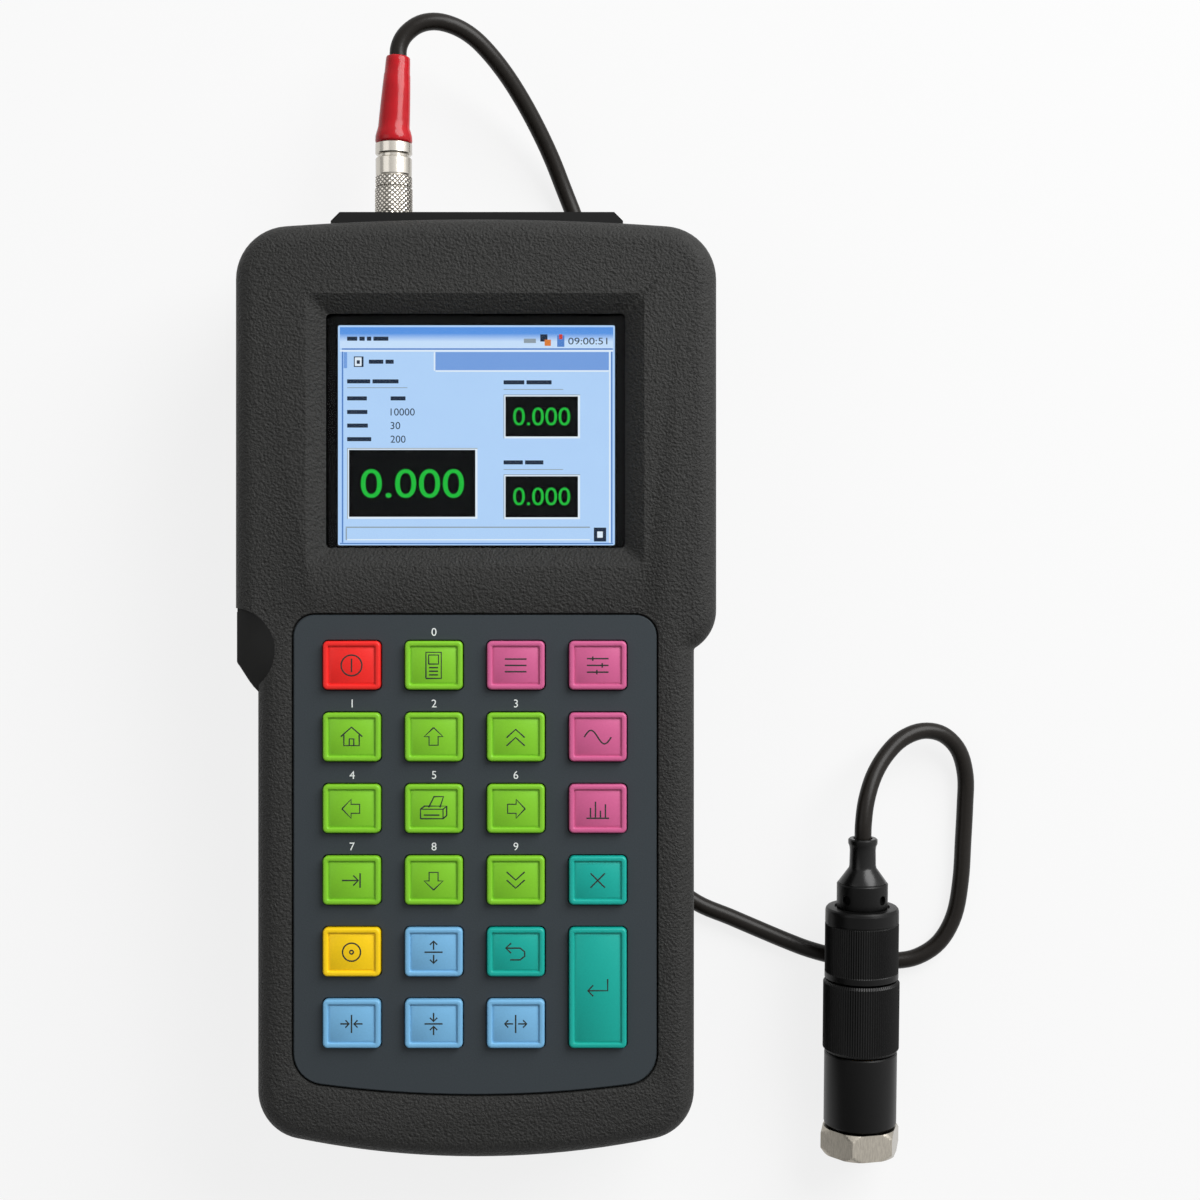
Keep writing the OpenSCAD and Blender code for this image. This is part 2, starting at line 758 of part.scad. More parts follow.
module rear_shell() {
    color("#2b2b2a")
    difference() {
        union() {
            difference() {
                union() {
                    difference() {
                        case_block(back_z, split_z + over);
                        edge_cutter(back_z, -1);
                    }
                    strap_lug(lug_z0, split_z + 2 * over);
                }
                translate([0, 0, inner_back_z])
                    linear_extrude(split_z - inner_back_z + 4 * over) polygon(case_outline(wall));
                parting_cut(split_z, split_z + 3 * over);
            }
            mirrored() translate([rail_x, rail_y, 0])
                slab(rail_w, rail_len, rail_r, foot_rise, back_z + wall / 2);
            slab(heel_w, heel_d, rail_r, foot_rise, back_z + wall / 2);
            mirrored() for (p = case_screws_at)
                translate(p) post(boss_r, inner_back_z - over, boss_joint_z - seat_gap);
            for (p = main_screws_at)
                translate(p) post(pillar_r, inner_back_z - over, main_z);
            translate([0, bay_y, 0])
                slab(cover_w + 2 * bay_wall, cover_len + 2 * bay_wall, cover_r,
                     inner_back_z - over, ledge_z);
            translate([0, bay_y, 0])
                slab(cell_w + 2 * bay_wall, cell_len + 2 * bay_wall, bay_r,
                     inner_back_z - over, ledge_z + cell_t / 2);
            for (side = [-1, 1])
                translate([0, bay_y + side * cover_screw_y, 0])
                    post(pillar_r, inner_back_z - over, ledge_z + cover_post_h);
        }
        // Battery bay, its ledge and the cover's seat
        translate([0, bay_y, 0]) {
            slab(cell_w + 2 * fit_gap, cell_len + 2 * fit_gap, bay_r, back_z - over, ledge_z + cell_t);
            slab(cover_w + 2 * fit_gap, cover_len + 2 * fit_gap, cover_r + fit_gap,
                 back_z - over, back_z + cover_t);
        }
        for (side = [-1, 1])
            translate([0, bay_y + side * cover_screw_y, 0])
                post(cover_screw_r + run_gap, ledge_z - bay_wall - over, ledge_z + cover_hole_h);
        mirrored() for (p = case_screws_at) translate(p) {
            post(screw_head_r + fit_gap, back_z - over, screw_seat_z);
            post(screw_hole_r, screw_seat_z - over, boss_joint_z + over);
        }
        for (p = main_screws_at)
            translate(p) post(board_screw_r + run_gap, inner_back_z + pillar_floor, main_z + over);
        for (f = foot_sizes)
            translate([f[0], f[1], 0])
                slab(f[2] + fit_gap, f[3] + fit_gap, foot_r, 0, foot_t);
        seal_groove();
        connector_opening();
    }
}

// Groove in the rear shell's rim, and the gasket that lies in it
seal_w = 1;
seal_inset = (wall - seal_w) / 2;
seal_h = 0.8;
seal_play = 0.05;
module seal_ring(z0, z1, play) {
    difference() {
        translate([0, 0, z0]) linear_extrude(z1 - z0) polygon(case_outline(seal_inset - play));
        translate([0, 0, z0 - over]) linear_extrude(z1 - z0 + 2 * over)
            polygon(case_outline(seal_inset + seal_w + play));
        connector_opening();
    }
}
module seal_groove() {
    seal_ring(split_z - seal_h, split_z + over, seal_play);
}
module shell_seal() {
    color("#1c1c1c") seal_ring(split_z - seal_h, split_z, 0);
}

module screen_window() {
    color("#20242a", 0.4)
        translate([0, window_y, 0])
            slab(glass_w, glass_h, window_r, glass_low + seat_gap, glass_top - seat_gap / 3);
}
module lcd_panel() {
    color("#bfdcff")
        translate([0, lcd_y, 0]) slab(lcd_w, lcd_h, lcd_r, panel_low, panel_top);
}
module lcd_tray() {
    color("#101113")
    difference() {
        translate([0, lcd_y, 0]) slab(tray_w, tray_h, tray_r, tray_low, panel_top + tray_rim);
        translate([0, lcd_y, 0]) slab(lcd_w + seat_gap, lcd_h + seat_gap, lcd_r, panel_low, glass_top);
    }
}

module keypad_plate() {
    color("#43474a")
    difference() {
        translate([0, 0, plate_low]) linear_extrude(plate_t) polygon(plate_outline(0));
        for (k = KEYS)
            key_opening(k, plate_low - over, face_z + over);
    }
}
// Opening that a key passes through, in the plate and in the shell below it
module key_opening(k, z0, z1) {
    translate([key_x(k), key_y(k), 0])
        slab(key_w + 2 * key_gap, key_height(k) + 2 * key_gap, key_r + key_gap, z0, z1);
}
module key(k) {
    h = key_height(k);
    color(k[4])
    translate([key_x(k), key_y(k), 0])
    difference() {
        union() {
            slab(key_w, h, key_r, flange_low, key_top);
            slab(key_w + 2 * flange_edge, h + 2 * flange_edge, key_r, flange_low, flange_top);
        }
        slab(key_w - 2 * key_rim_w, h - 2 * key_rim_w, key_r / 2, key_top - key_dish, key_top + over);
    }
}
module key_mat() {
    color("#8f9296")
    difference() {
        union() {
            translate([0, keyboard_y, 0]) slab(keyboard_w, keyboard_len, keyboard_r, board_top, mat_top);
            for (k = KEYS) translate([key_x(k), key_y(k), 0]) post(dome_r, mat_top - over, dome_top);
        }
        for (p = keyboard_screws_at) translate(p) post(key_boss_r + fit_gap, board_top - over, dome_top);
    }
}
module keypad_board() {
    color("#1f6b3a")
    difference() {
        translate([0, keyboard_y, 0])
            slab(keyboard_w, keyboard_len, keyboard_r, board_top - board_t, board_top);
        for (p = keyboard_screws_at)
            translate(p) post(board_screw_r + fit_gap, board_top - board_t - over, board_top + over);
    }
}
module main_board() {
    color("#1f6b3a")
    difference() {
        union() {
            translate([0, main_y, 0]) slab(main_w, main_len, main_r, main_z, main_z + main_t);
            for (c = chip_shares)
                translate([c[0] * main_w, main_y + c[1] * main_len, 0])
                    slab(c[2] * main_w, c[3] * main_len, chip_r,
                         main_z + main_t / 2, main_z + main_t + chip_h);
        }
        for (p = main_screws_at)
            translate(p) post(board_screw_r + fit_gap, main_z - over, main_z + main_t + over);
    }
}
buzzer_r = 6;
buzzer_h = 4;
buzzer_port_r = 1;
module buzzer() {
    color("#161616")
        translate([-main_w / 3, main_y - main_len / 4, 0])
        difference() {
            post(buzzer_r, main_z + main_t, main_z + main_t + buzzer_h);
            post(buzzer_port_r, main_z + main_t + buzzer_h / 2, main_z + main_t + buzzer_h + over);
        }
}

module connector_plate() {
    color("#18181a")
    difference() {
        translate([0, 0, panel_z]) {
            translate([0, 0, -panel_h / 2]) linear_extrude(panel_h) polygon([
                [-panel_w / 2, panel_in],
                [panel_w / 2, panel_in],
                [panel_w / 2, panel_out - panel_chamfer],
                [panel_w / 2 - panel_chamfer, panel_out],
                [panel_chamfer - panel_w / 2, panel_out],
                [-panel_w / 2, panel_out - panel_chamfer]
            ]);
            cube_between(
                [-panel_w / 2 - panel_flange, panel_in, -panel_h / 2 - panel_flange],
                [panel_w / 2 + panel_flange, panel_in + panel_flange_t, panel_h / 2 + panel_flange]
            );
        }
        for (x = [-socket_x, socket_x])
            translate([x, 0, panel_z]) rod(socket_r, panel_in - over, panel_out + over);
        translate([0, 0, panel_z])
            cube_between(
                [-port_w / 2, panel_in - over, -port_h / 2],
                [port_w / 2, panel_out + over, port_h / 2]
            );
    }
}
module socket(x) {
    translate([x, 0, panel_z])
    difference() {
        rod(socket_r - press_gap, panel_out - socket_len, panel_out);
        rod(socket_bore_r, panel_out - socket_bore_depth, panel_out + over);
    }
}
module channel_1_socket() {
    color("#b8b4aa") socket(-socket_x);
}
module channel_2_socket() {
    color("#b8b4aa") socket(socket_x);
}
module socket_nuts() {
    color("#b8b4aa")
    for (x = [-socket_x, socket_x])
        translate([x, panel_in - hex_nut_t, panel_z])
        rotate([-90, 0, 0])
        difference() {
            cylinder(r = hex_nut_af / sqrt(3), h = hex_nut_t, $fn = 6);
            translate([0, 0, -over]) cylinder(r = socket_r + run_gap, h = hex_nut_t + 2 * over, $fn = 48);
        }
}
module data_port() {
    color("#8c8f94")
    translate([0, 0, panel_z])
    difference() {
        cube_between(
            [seat_gap - port_w / 2, panel_out - port_len, seat_gap - port_h / 2],
            [port_w / 2 - seat_gap, panel_out - port_sink, port_h / 2 - seat_gap]
        );
        cube_between(
            [port_shell - port_w / 2, panel_out - port_depth, port_shell - port_h / 2],
            [port_w / 2 - port_shell, panel_out + over, port_h / 2 - port_shell]
        );
    }
}

module battery_pack() {
    color("#2b5a8c")
        translate([0, bay_y, 0])
            slab(cell_w, cell_len, cell_r,
                 back_z + cover_t + seat_gap, back_z + cover_t + seat_gap + cell_t);
}
module battery_cover() {
    color("#2b2b2a")
    difference() {
        translate([0, bay_y, 0])
            slab(cover_w, cover_len, cover_r, back_z, back_z + cover_t - seat_gap / 3);
        for (side = [-1, 1])
            translate([0, bay_y + side * cover_screw_y, 0]) {
                post(cover_screw_r + fit_gap, back_z - over, ledge_z);
                post(cover_head_r + fit_gap, back_z - over, back_z + cover_t / 2);
            }
    }
}
// A screw that points up: its head's foot at z0, its shank's tip at z1
module screw(r, head_r, head_h, z0, z1) {
    difference() {
        union() {
            post(head_r, z0, z0 + head_h);
            post(r, z0, z1);
        }
        post(r / 2, z0 - over, z0 + head_h / 2);
    }
}
module cover_screws() {
    color("#6a6a6a")
    for (side = [-1, 1])
        translate([0, bay_y + side * cover_screw_y, 0])
            screw(cover_screw_r, cover_head_r, cover_t / 2 - seat_gap,
                  back_z + seat_gap / 2, ledge_z + cover_hole_h - screw_spare);
}
module case_screws() {
    color("#6a6a6a")
    mirrored() for (p = case_screws_at)
        translate(p)
            screw(screw_r, screw_head_r, screw_head_h,
                  screw_seat_z - screw_head_h, inner_face_z - screw_cover - screw_spare);
}
module board_screws() {
    color("#9a9a9a") {
        for (p = main_screws_at)
            translate(p) mirror([0, 0, 1])
                screw(board_screw_r, board_head_r, board_head_h,
                      -main_z - main_t - board_head_h, -inner_back_z - pillar_floor - screw_spare);
        for (p = keyboard_screws_at)
            translate(p)
                screw(board_screw_r, board_head_r, board_head_h,
                      board_top - board_t - board_head_h, board_top + key_boss_hole - screw_spare);
    }
}
module rubber_feet() {
    color("#141414")
    for (f = foot_sizes)
        translate([f[0], f[1], 0]) slab(f[2], f[3], foot_r, 0, foot_t);
}

module plug_body() {
    color("#b8b4aa")
    translate([-socket_x, 0, panel_z])
    difference() {
        union() {
            rod(nose_r, panel_out - nose_len, sleeve_y0);
            rod(stem_r, panel_out + seat_gap, nut_y1);
        }
        rod(nose_r - nose_wall, panel_out - nose_len - over, panel_out - nose_floor);
        rod(cable_d / 2, panel_out - 2 * nose_floor, nut_y1 + over);
    }
}
pin_r = 0.45;
pin_ring_r = 1.6;
pin_count = 4;
pin_inset = 0.6;
pin_room = 3;
module plug_insert() {
    color("#c9a24a")
    translate([-socket_x, 0, panel_z]) {
        rod(nose_r - nose_wall - press_gap,
            panel_out - nose_len + pin_room, panel_out - nose_floor - run_gap);
        for (k = [0:pin_count - 1])
            rotate([0, 360 * k / pin_count + 45, 0]) translate([pin_ring_r, 0, 0])
                rod(pin_r, panel_out - nose_len + pin_inset, panel_out - nose_len + pin_room + over);
    }
}
module latch_sleeve() {
    color("#b8b4aa")
    translate([-socket_x, 0, panel_z])
    difference() {
        union() {
            rod(sleeve_r - sleeve_step, sleeve_y0, sleeve_y1);
            rod(sleeve_r, sleeve_y0 + sleeve_chamfer, sleeve_y1 - sleeve_band);
        }
        rod(stem_r + run_gap, sleeve_y0 - over, sleeve_y1 + over);
    }
}
module plug_nut() {
    color("#b8b4aa") translate([-socket_x, 0, panel_z]) tube(sleeve_r, stem_r + run_gap, nut_y0, nut_y1);
}
module plug_boot() {
    color("#c81420")
    translate([-socket_x, 0, panel_z])
    difference() {
        union() {
            rod(sleeve_r, boot_y0, boot_y0 + boot_collar);
            translate([0, boot_y0 + boot_collar, 0]) rotate([0, 0, -boot_lean]) rotate([-90, 0, 0])
                rotate_extrude($fn = 48) polygon([
                    [0, -boot_tuck],
                    [sleeve_r - boot_step, -boot_tuck],
                    [boot_mid_r, boot_taper],
                    [boot_end_r, boot_len - boot_collar],
                    [0, boot_len - boot_collar]
                ]);
        }
        translate([0, boot_y0 + boot_collar, 0]) rotate([0, 0, -boot_lean])
            rod(cable_d / 2 + cable_play, boot_len - boot_collar - cable_seat, boot_len);
    }
}
module sensor_cable() {
    color("#2c2a24") stack([for (i = [len(cable_route) - 1:-1:0]) cable_ring(i)]);
}

// Everything in the sensor is drawn along its own axis, from the magnet face
module on_sensor() {
    translate([sensor_x, sensor_y, sensor_z]) rotate([sensor_tilt, 0, 0]) children();
}
module magnet_base() {
    color("#9a958c")
    on_sensor() difference() {
        intersection() {
            rotate([-90, 0, 0]) rotate([0, 0, 120 + hex_turn])
                cylinder(r = hex_corner_r, h = hex_len, $fn = 6);
            union() {
                cone(hex_corner_r - hex_chamfer, hex_corner_r + over, -over / 10, hex_chamfer_len);
                rod(hex_corner_r + over, hex_chamfer_len - over / 10, hex_len - hex_chamfer_len);
                cone(hex_corner_r + over, hex_corner_r - hex_chamfer,
                     hex_len - hex_chamfer_len - over / 10, hex_len);
            }
        }
        rod(magnet_r + seat_gap / 3, -over, magnet_t + seat_gap);
        rod(stud_r + run_gap, stud_d0 - rotor_gap, hex_len + over);
    }
}
module magnet() {
    color("#77797c") on_sensor() rod(magnet_r, 0, magnet_t);
}
module base_stud() {
    color("#8c8c8c") on_sensor() rod(stud_r, stud_d0, stud_d1);
}
module sensor_body() {
    color("#0c0c0c")
    on_sensor() difference() {
        union() {
            rod(body_r, body_d0, body_d1);
            rod(spigot_r, body_d1 - over, spigot_d1);
        }
        rod(stud_r + run_gap / 2, body_d0 - over, stud_d1 + fit_gap);
        rod(cavity_r, cavity_d0, spigot_d1 + over);
    }
}
crystal_t = 2;
crystal_margin = 1.3;
mass_t = 10;
mass_margin = 0.6;
element_gap = 0.05;
module sensing_element() {
    color("#a8874a")
    on_sensor() {
        // Two crystal rings under the seismic mass, clamped by a screw
        for (k = [0:1])
            translate([0, cavity_d0 + k * (crystal_t + element_gap), 0])
                rod(cavity_r - crystal_margin, 0, crystal_t);
        translate([0, cavity_d0 + 2 * (crystal_t + element_gap), 0]) rod(cavity_r - mass_margin, 0, mass_t);
    }
}
module grip_sleeve() {
    color("#0c0c0c") on_sensor() tube(grip_r, spigot_r + run_gap, grip_d0, grip_d1);
}
module upper_housing() {
    color("#0c0c0c")
    on_sensor() difference() {
        rod(upper_r, upper_d0, upper_d1);
        rod(spigot_r + run_gap / 2, upper_d0 - over, spigot_d1 + fit_gap);
        rod(cavity_r, spigot_d1, upper_d1 - upper_floor);
        rod(neck_r + fit_gap, upper_d1 - upper_floor - over, upper_d1 + over);
    }
}
slot_w = 1.6;
slot_depth = 2;
slot_rise = 1.4;
module collar_nut() {
    color("#0c0c0c")
    on_sensor() difference() {
        rod(collar_r, upper_d1, collar_d1);
        rod(neck_r + run_gap, upper_d1 - over, collar_d1 + over);
        for (k = [0:3])
            rotate([0, 90 * k + 45, 0])
                cube_between([collar_r - slot_depth, upper_d1 + slot_rise, -slot_w / 2],
                             [collar_r + over, collar_d1 + over, slot_w / 2]);
    }
}
module cable_gland() {
    color("#101010")
    on_sensor() difference() {
        union() {
            rod(neck_r, upper_d1 - upper_floor, neck_d1);
            cone(collar_r - cone_step, neck_r, collar_d1, cone_d1);
            rod(gland_rim_r, neck_d1, gland_d1);
        }
        rod(cable_d / 2 + cable_play, gland_d1 - cable_seat, gland_d1 + over);
    }
}

front_shell();
rear_shell();
shell_seal();
screen_window();
lcd_panel();
lcd_tray();
keypad_plate();
for (k = KEYS) key(k);
key_mat();
keypad_board();
main_board();
buzzer();
connector_plate();
channel_1_socket();
channel_2_socket();
socket_nuts();
data_port();
battery_pack();
battery_cover();
cover_screws();
case_screws();
board_screws();
rubber_feet();
plug_body();
plug_insert();
latch_sleeve();
plug_nut();
plug_boot();
sensor_cable();
magnet_base();
magnet();
base_stud();
sensor_body();
sensing_element();
grip_sleeve();
upper_housing();
collar_nut();
cable_gland();
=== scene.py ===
"""Studio scene of a handheld vibration meter and its corded sensor.

Sizes are millimetres in the meter's frame, and a mesh is placed in metres. The meter lies on its
back: +X is its right, +Y its connector end and +Z points out of its face.
"""

import logging
import math
from dataclasses import dataclass, field
from enum import Enum
from typing import Callable, Iterable, Sequence

import bmesh
import bpy
from bpy.types import Material, Node, NodeSocket, NodeTree, Object, World
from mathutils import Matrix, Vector


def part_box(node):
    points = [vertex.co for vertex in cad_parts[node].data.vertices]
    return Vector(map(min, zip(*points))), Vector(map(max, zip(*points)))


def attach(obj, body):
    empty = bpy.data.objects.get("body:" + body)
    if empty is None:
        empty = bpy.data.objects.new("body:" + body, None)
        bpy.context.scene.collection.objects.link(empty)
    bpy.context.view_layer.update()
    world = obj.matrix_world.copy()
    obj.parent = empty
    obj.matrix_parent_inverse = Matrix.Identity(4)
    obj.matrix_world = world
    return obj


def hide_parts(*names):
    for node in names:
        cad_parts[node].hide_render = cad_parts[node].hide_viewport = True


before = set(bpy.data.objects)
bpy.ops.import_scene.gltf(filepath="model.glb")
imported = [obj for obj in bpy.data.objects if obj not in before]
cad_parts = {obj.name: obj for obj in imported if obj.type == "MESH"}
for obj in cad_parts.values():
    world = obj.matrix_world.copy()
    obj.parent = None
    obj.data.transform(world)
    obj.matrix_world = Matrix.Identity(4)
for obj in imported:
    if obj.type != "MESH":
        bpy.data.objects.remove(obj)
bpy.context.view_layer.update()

LOG = logging.getLogger("meter")
MM = 0.001
# Points of an outline that lie nearer than this are one point, in millimetres
TOUCHING = 0.05
UP = Vector((0, 0, 1))
ALONG = Vector((0, 1, 0))
Ring = Sequence[Vector]
Stroke = Sequence[tuple[float, float]]
Box = tuple[float, float, float, float]


def corners(node: str) -> tuple[Vector, Vector]:
    """Measures a CAD node.

    Args:
        node: name of the node.

    Returns:
        Its lowest and highest corner, in millimetres.
    """
    low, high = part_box(node)
    return low / MM, high / MM


def middle(node: str) -> Vector:
    """Middle of a CAD node's box, in millimetres."""
    low, high = corners(node)
    return (low + high) / 2


def span(node: str) -> Vector:
    """Size of a CAD node's box, in millimetres."""
    low, high = corners(node)
    return high - low


# Finishes


def linear(colour: str) -> tuple[float, float, float, float]:
    """Turns an sRGB hex colour into the linear colour that a shader takes.

    Args:
        colour: six hex digits after a hash sign.

    Returns:
        Linear red, green and blue, and an alpha of one.
    """
    shares = [int(colour[k : k + 2], 16) / 255 for k in (1, 3, 5)]
    red, green, blue = [s / 12.92 if s <= 0.04045 else ((s + 0.055) / 1.055) ** 2.4 for s in shares]
    return red, green, blue, 1.0


def scaled(colour: str, share: float) -> tuple[float, float, float, float]:
    """A hex colour made linear, with its light multiplied by a share."""
    red, green, blue, alpha = linear(colour)
    return min(1.0, red * share), min(1.0, green * share), min(1.0, blue * share), alpha


def add_node(
    tree: NodeTree,
    kind: str,
    settings: dict[str, object] | None = None,
    links: dict[str | int, NodeSocket] | None = None,
) -> Node:
    """Adds a shader node.

    Args:
        tree: the node tree that it goes into.
        kind: Blender's name of the node type.
        settings: values of its own inputs or properties, by name.
        links: the outputs that feed its inputs, by the input's name or number.

    Returns:
        The new node.
    """
    node = tree.nodes.new(kind)
    for name, value in (settings or {}).items():
        if name in node.inputs:
            node.inputs[name].default_value = value
        else:
            setattr(node, name, value)
    for name, source in (links or {}).items():
        tree.links.new(source, node.inputs[name])
    return node


def maths(tree: NodeTree, operation: str, *terms: NodeSocket | float) -> NodeSocket:
    """Adds a sum to a node tree.

    Args:
        tree: the node tree that it goes into.
        operation: Blender's name of the sum.
        *terms: its terms, each an output of another node or a number.

    Returns:
        The output that holds its result.
    """
    node = add_node(tree, "ShaderNodeMath", {"operation": operation})
    for place, term in zip(node.inputs, terms):
        if isinstance(term, NodeSocket):
            tree.links.new(term, place)
        else:
            place.default_value = term
    return node.outputs[0]


def blended(tree: NodeTree, share: NodeSocket, *shaders: NodeSocket) -> NodeSocket:
    """Output of a mix of two shaders, in which the share is that of the second."""
    links = {0: share, 1: shaders[0], 2: shaders[1]}
    return add_node(tree, "ShaderNodeMixShader", links=links).outputs["Shader"]


def empty_tree(owner: Material | World) -> NodeTree:
    """Node tree of a material or a world, with nothing in it.

    Args:
        owner: the material or the world.

    Returns:
        Its node tree.
    """
    owner.use_nodes = True
    owner.node_tree.nodes.clear()
    return owner.node_tree


class Grain(Enum):
    """What the surface of a finish shows close up; only leather has a pattern of its own."""

    LEATHER = "leather"
    SATIN = "satin"
    BRUSHED = "brushed"
    GLOSS = "gloss"
    PIXELS = "pixels"


# Heights of the grain between which the tint runs, and what the grain does to the roughness
TINT_RANGE = (0.3, 0.7)
ROUGHNESS_RANGE = (0.85, 1.15)
LEAST_ROUGHNESS = 0.02
COAT_ROUGHNESS = 0.04


@dataclass(frozen=True)
class Finish:
    """How a surface was made, and what that gives the eye."""

    name: str
    colour: str
    roughness: float
    grain: Grain = Grain.SATIN
    grain_mm: float = 0.5
    depth_mm: float = 0.01
    tint: float = 0.08
    metallic: float = 0.0
    gloss: float = 0.5
    coat: float = 0.0
    glow: float = 0.0
    stretch: tuple[float, float, float] = (1.0, 1.0, 1.0)

    def material(self) -> Material:
        """Material of this finish, made on first use."""
        found = bpy.data.materials.get(self.name)
        return found if found else self.make()

    def pattern(self, tree: NodeTree) -> NodeSocket:
        """Draws the grain.

        Args:
            tree: the material's node tree.

        Returns:
            The output that holds the height of the grain, from 0 to 1.
        """
        place = add_node(tree, "ShaderNodeTexCoord")
        turned = add_node(
            tree, "ShaderNodeMapping", {"Scale": self.stretch}, {"Vector": place.outputs["Object"]}
        )
        per_metre = 1 / (self.grain_mm * MM)
        noise = add_node(
            tree,
            "ShaderNodeTexNoise",
            {"Scale": per_metre, "Detail": 3.0, "Roughness": 0.6},
            {"Vector": turned.outputs["Vector"]},
        )
        height = noise.outputs["Fac"]
        if self.grain is not Grain.LEATHER:
            return height
        cells = add_node(
            tree,
            "ShaderNodeTexVoronoi",
            {"feature": "SMOOTH_F1", "Scale": per_metre, "Smoothness": 0.6},
            {"Vector": turned.outputs["Vector"]},
        )
        return maths(tree, "MULTIPLY_ADD", cells.outputs["Distance"], height, height)

    def make(self) -> Material:
        """Builds the material's nodes.

        Returns:
            The new material.
        """
        made = bpy.data.materials.new(self.name)
        tree = empty_tree(made)
        height = self.pattern(tree)
        colour = add_node(tree, "ShaderNodeValToRGB", links={"Fac": height})
        low, high = colour.color_ramp.elements
        low.position, high.position = TINT_RANGE
        low.color = scaled(self.colour, 1 - self.tint)
        high.color = scaled(self.colour, 1 + self.tint)
        smoothest, roughest = (self.roughness * share for share in ROUGHNESS_RANGE)
        rough = add_node(
            tree,
            "ShaderNodeMapRange",
            {"To Min": max(LEAST_ROUGHNESS, smoothest), "To Max": min(1.0, roughest)},
            {"Value": height},
        )
        bump = add_node(
            tree,
            "ShaderNodeBump",
            {"Distance": self.depth_mm * MM, "Strength": 1.0},
            {"Height": height},
        )
        surface = add_node(
            tree,
            "ShaderNodeBsdfPrincipled",
            {
                "Metallic": self.metallic,
                "Specular IOR Level": self.gloss,
                "Coat Weight": self.coat,
                "Coat Roughness": COAT_ROUGHNESS,
                "Emission Strength": self.glow,
            },
            {
                "Base Color": colour.outputs["Color"],
                "Roughness": rough.outputs["Result"],
                "Normal": bump.outputs["Normal"],
            },
        )
        if self.glow:
            tree.links.new(colour.outputs["Color"], surface.inputs["Emission Color"])
            tree.links.remove(surface.inputs["Base Color"].links[0])
            surface.inputs["Base Color"].default_value = linear("#000000")
        add_node(tree, "ShaderNodeOutputMaterial", links={"Surface": surface.outputs["BSDF"]})
        return made


def lit(name: str, colour: str, tint: float = 0.03, glow: float = 0.95) -> Finish:
    """Colour of the liquid crystal display: it glows, hardly reflects, and has a pixel's grain."""
    return Finish(name, colour, 0.4, Grain.PIXELS, 0.22, 0.0, tint, gloss=0.02, glow=glow)


def metal(
    name: str,
    colour: str,
    roughness: float,
    grain_mm: float,
    depth_mm: float,
    tint: float,
    run: float = 1.0,
) -> Finish:
    """Brushed or plated metal.

    Args:
        name: name of the finish.
        colour: its colour.
        roughness: how blunt its highlights are.
        grain_mm: width of its scratches.
        depth_mm: depth of its scratches.
        tint: how much its colour varies.
        run: over one, scratches that run round y; under one, scratches along y.

    Returns:
        The finish.
    """
    stretch = (1.0, run, 1.0)
    grain = Grain.BRUSHED
    return Finish(name, colour, roughness, grain, grain_mm, depth_mm, tint, 1.0, stretch=stretch)


# Moulded ABS with a sand-cast leather grain: dull, dark, with pebbles under a millimetre wide
CASE = Finish("leather_grained_abs", "#1c1c1b", 0.5, Grain.LEATHER, 0.62, 0.34, 0.5, gloss=0.2)
# The same ABS with a plain mould face, at the strap lug
CASE_SMOOTH = Finish("plain_moulded_abs", "#121211", 0.42, Grain.SATIN, 0.9, 0.006, gloss=0.16)
# Textured polycarbonate sheet, printed from behind: a fine even sheen
PLATE = Finish("textured_polycarbonate", "#2f3539", 0.46, Grain.SATIN, 0.34, 0.02, gloss=0.2)
# Plain moulded ABS of the connector plate: even and black
PANEL = Finish("black_moulded_abs", "#0d0d0d", 0.4, Grain.SATIN, 0.6, 0.008, gloss=0.16)
# Soft rubber: almost no shine
RUBBER = Finish("black_rubber", "#141414", 0.75, Grain.SATIN, 0.4, 0.02, gloss=0.25)
# Printed black border behind the glass: flat black
BORDER = Finish("black_screen_print", "#040404", 0.35, Grain.SATIN, 0.2, 0.002, gloss=0.03)
# Lit liquid crystal colours
LCD_PALE = lit("lit_pale_blue", "#b9d9ff", 0.035)
LCD_STRIP = lit("lit_blue_strip", "#7ba4e2")
LCD_EDGE = lit("lit_blue_edge", "#5a8ad2", glow=0.9)
LCD_WHITE = lit("lit_white", "#eaf4ff")
LCD_GREY = lit("lit_grey", "#9aa6ae", 0.04, 0.9)
LCD_BLACK = lit("dark_pixels", "#050607", 0.3, 0.6)
LCD_INK = lit("dark_blue_pixels", "#2e3b50", 0.1, 0.7)
LCD_GREEN = lit("lit_green", "#21c23c", 0.06)
LCD_ORANGE = lit("lit_orange", "#e8843c", 0.05, 0.9)
LCD_RED = lit("lit_red", "#d8483f", 0.05, 0.9)
# White screen print on the keypad plate, and dark print on the caps: thin and dull
WHITE_INK = Finish("white_screen_print", "#d9dcdd", 0.5, Grain.SATIN, 0.15, 0.002, 0.05)
DARK_INK = Finish("dark_screen_print", "#161d19", 0.6, Grain.SATIN, 0.15, 0.002, 0.1, gloss=0.3)
# Bright nickel on turned brass: mirror streaks round the axis
NICKEL = metal("turned_bright_nickel", "#c2bdb4", 0.2, 0.5, 0.002, 0.1, run=12.0)
# Nickel on a ground steel hexagon: satin, slightly warm, with scratches along it
SATIN_NICKEL = metal("ground_satin_nickel", "#a8a297", 0.24, 0.3, 0.008, 0.14, run=0.15)
# Hard anodised aluminium: deep black with a soft sheen
ANODISED = Finish(
    "black_anodised_aluminium", "#060606", 0.36, Grain.SATIN, 0.25, 0.004, 0.2, gloss=0.17
)
# Glass-filled nylon of the gland: black, with a fairly sharp highlight
GLAND = Finish("black_nylon", "#080808", 0.26, Grain.SATIN, 0.7, 0.006, 0.2, gloss=0.25)
# Dipped PVC boot: glossy and slightly wavy
BOOT = Finish("red_glossy_pvc", "#a40915", 0.18, Grain.GLOSS, 2.5, gloss=0.2, coat=0.05)
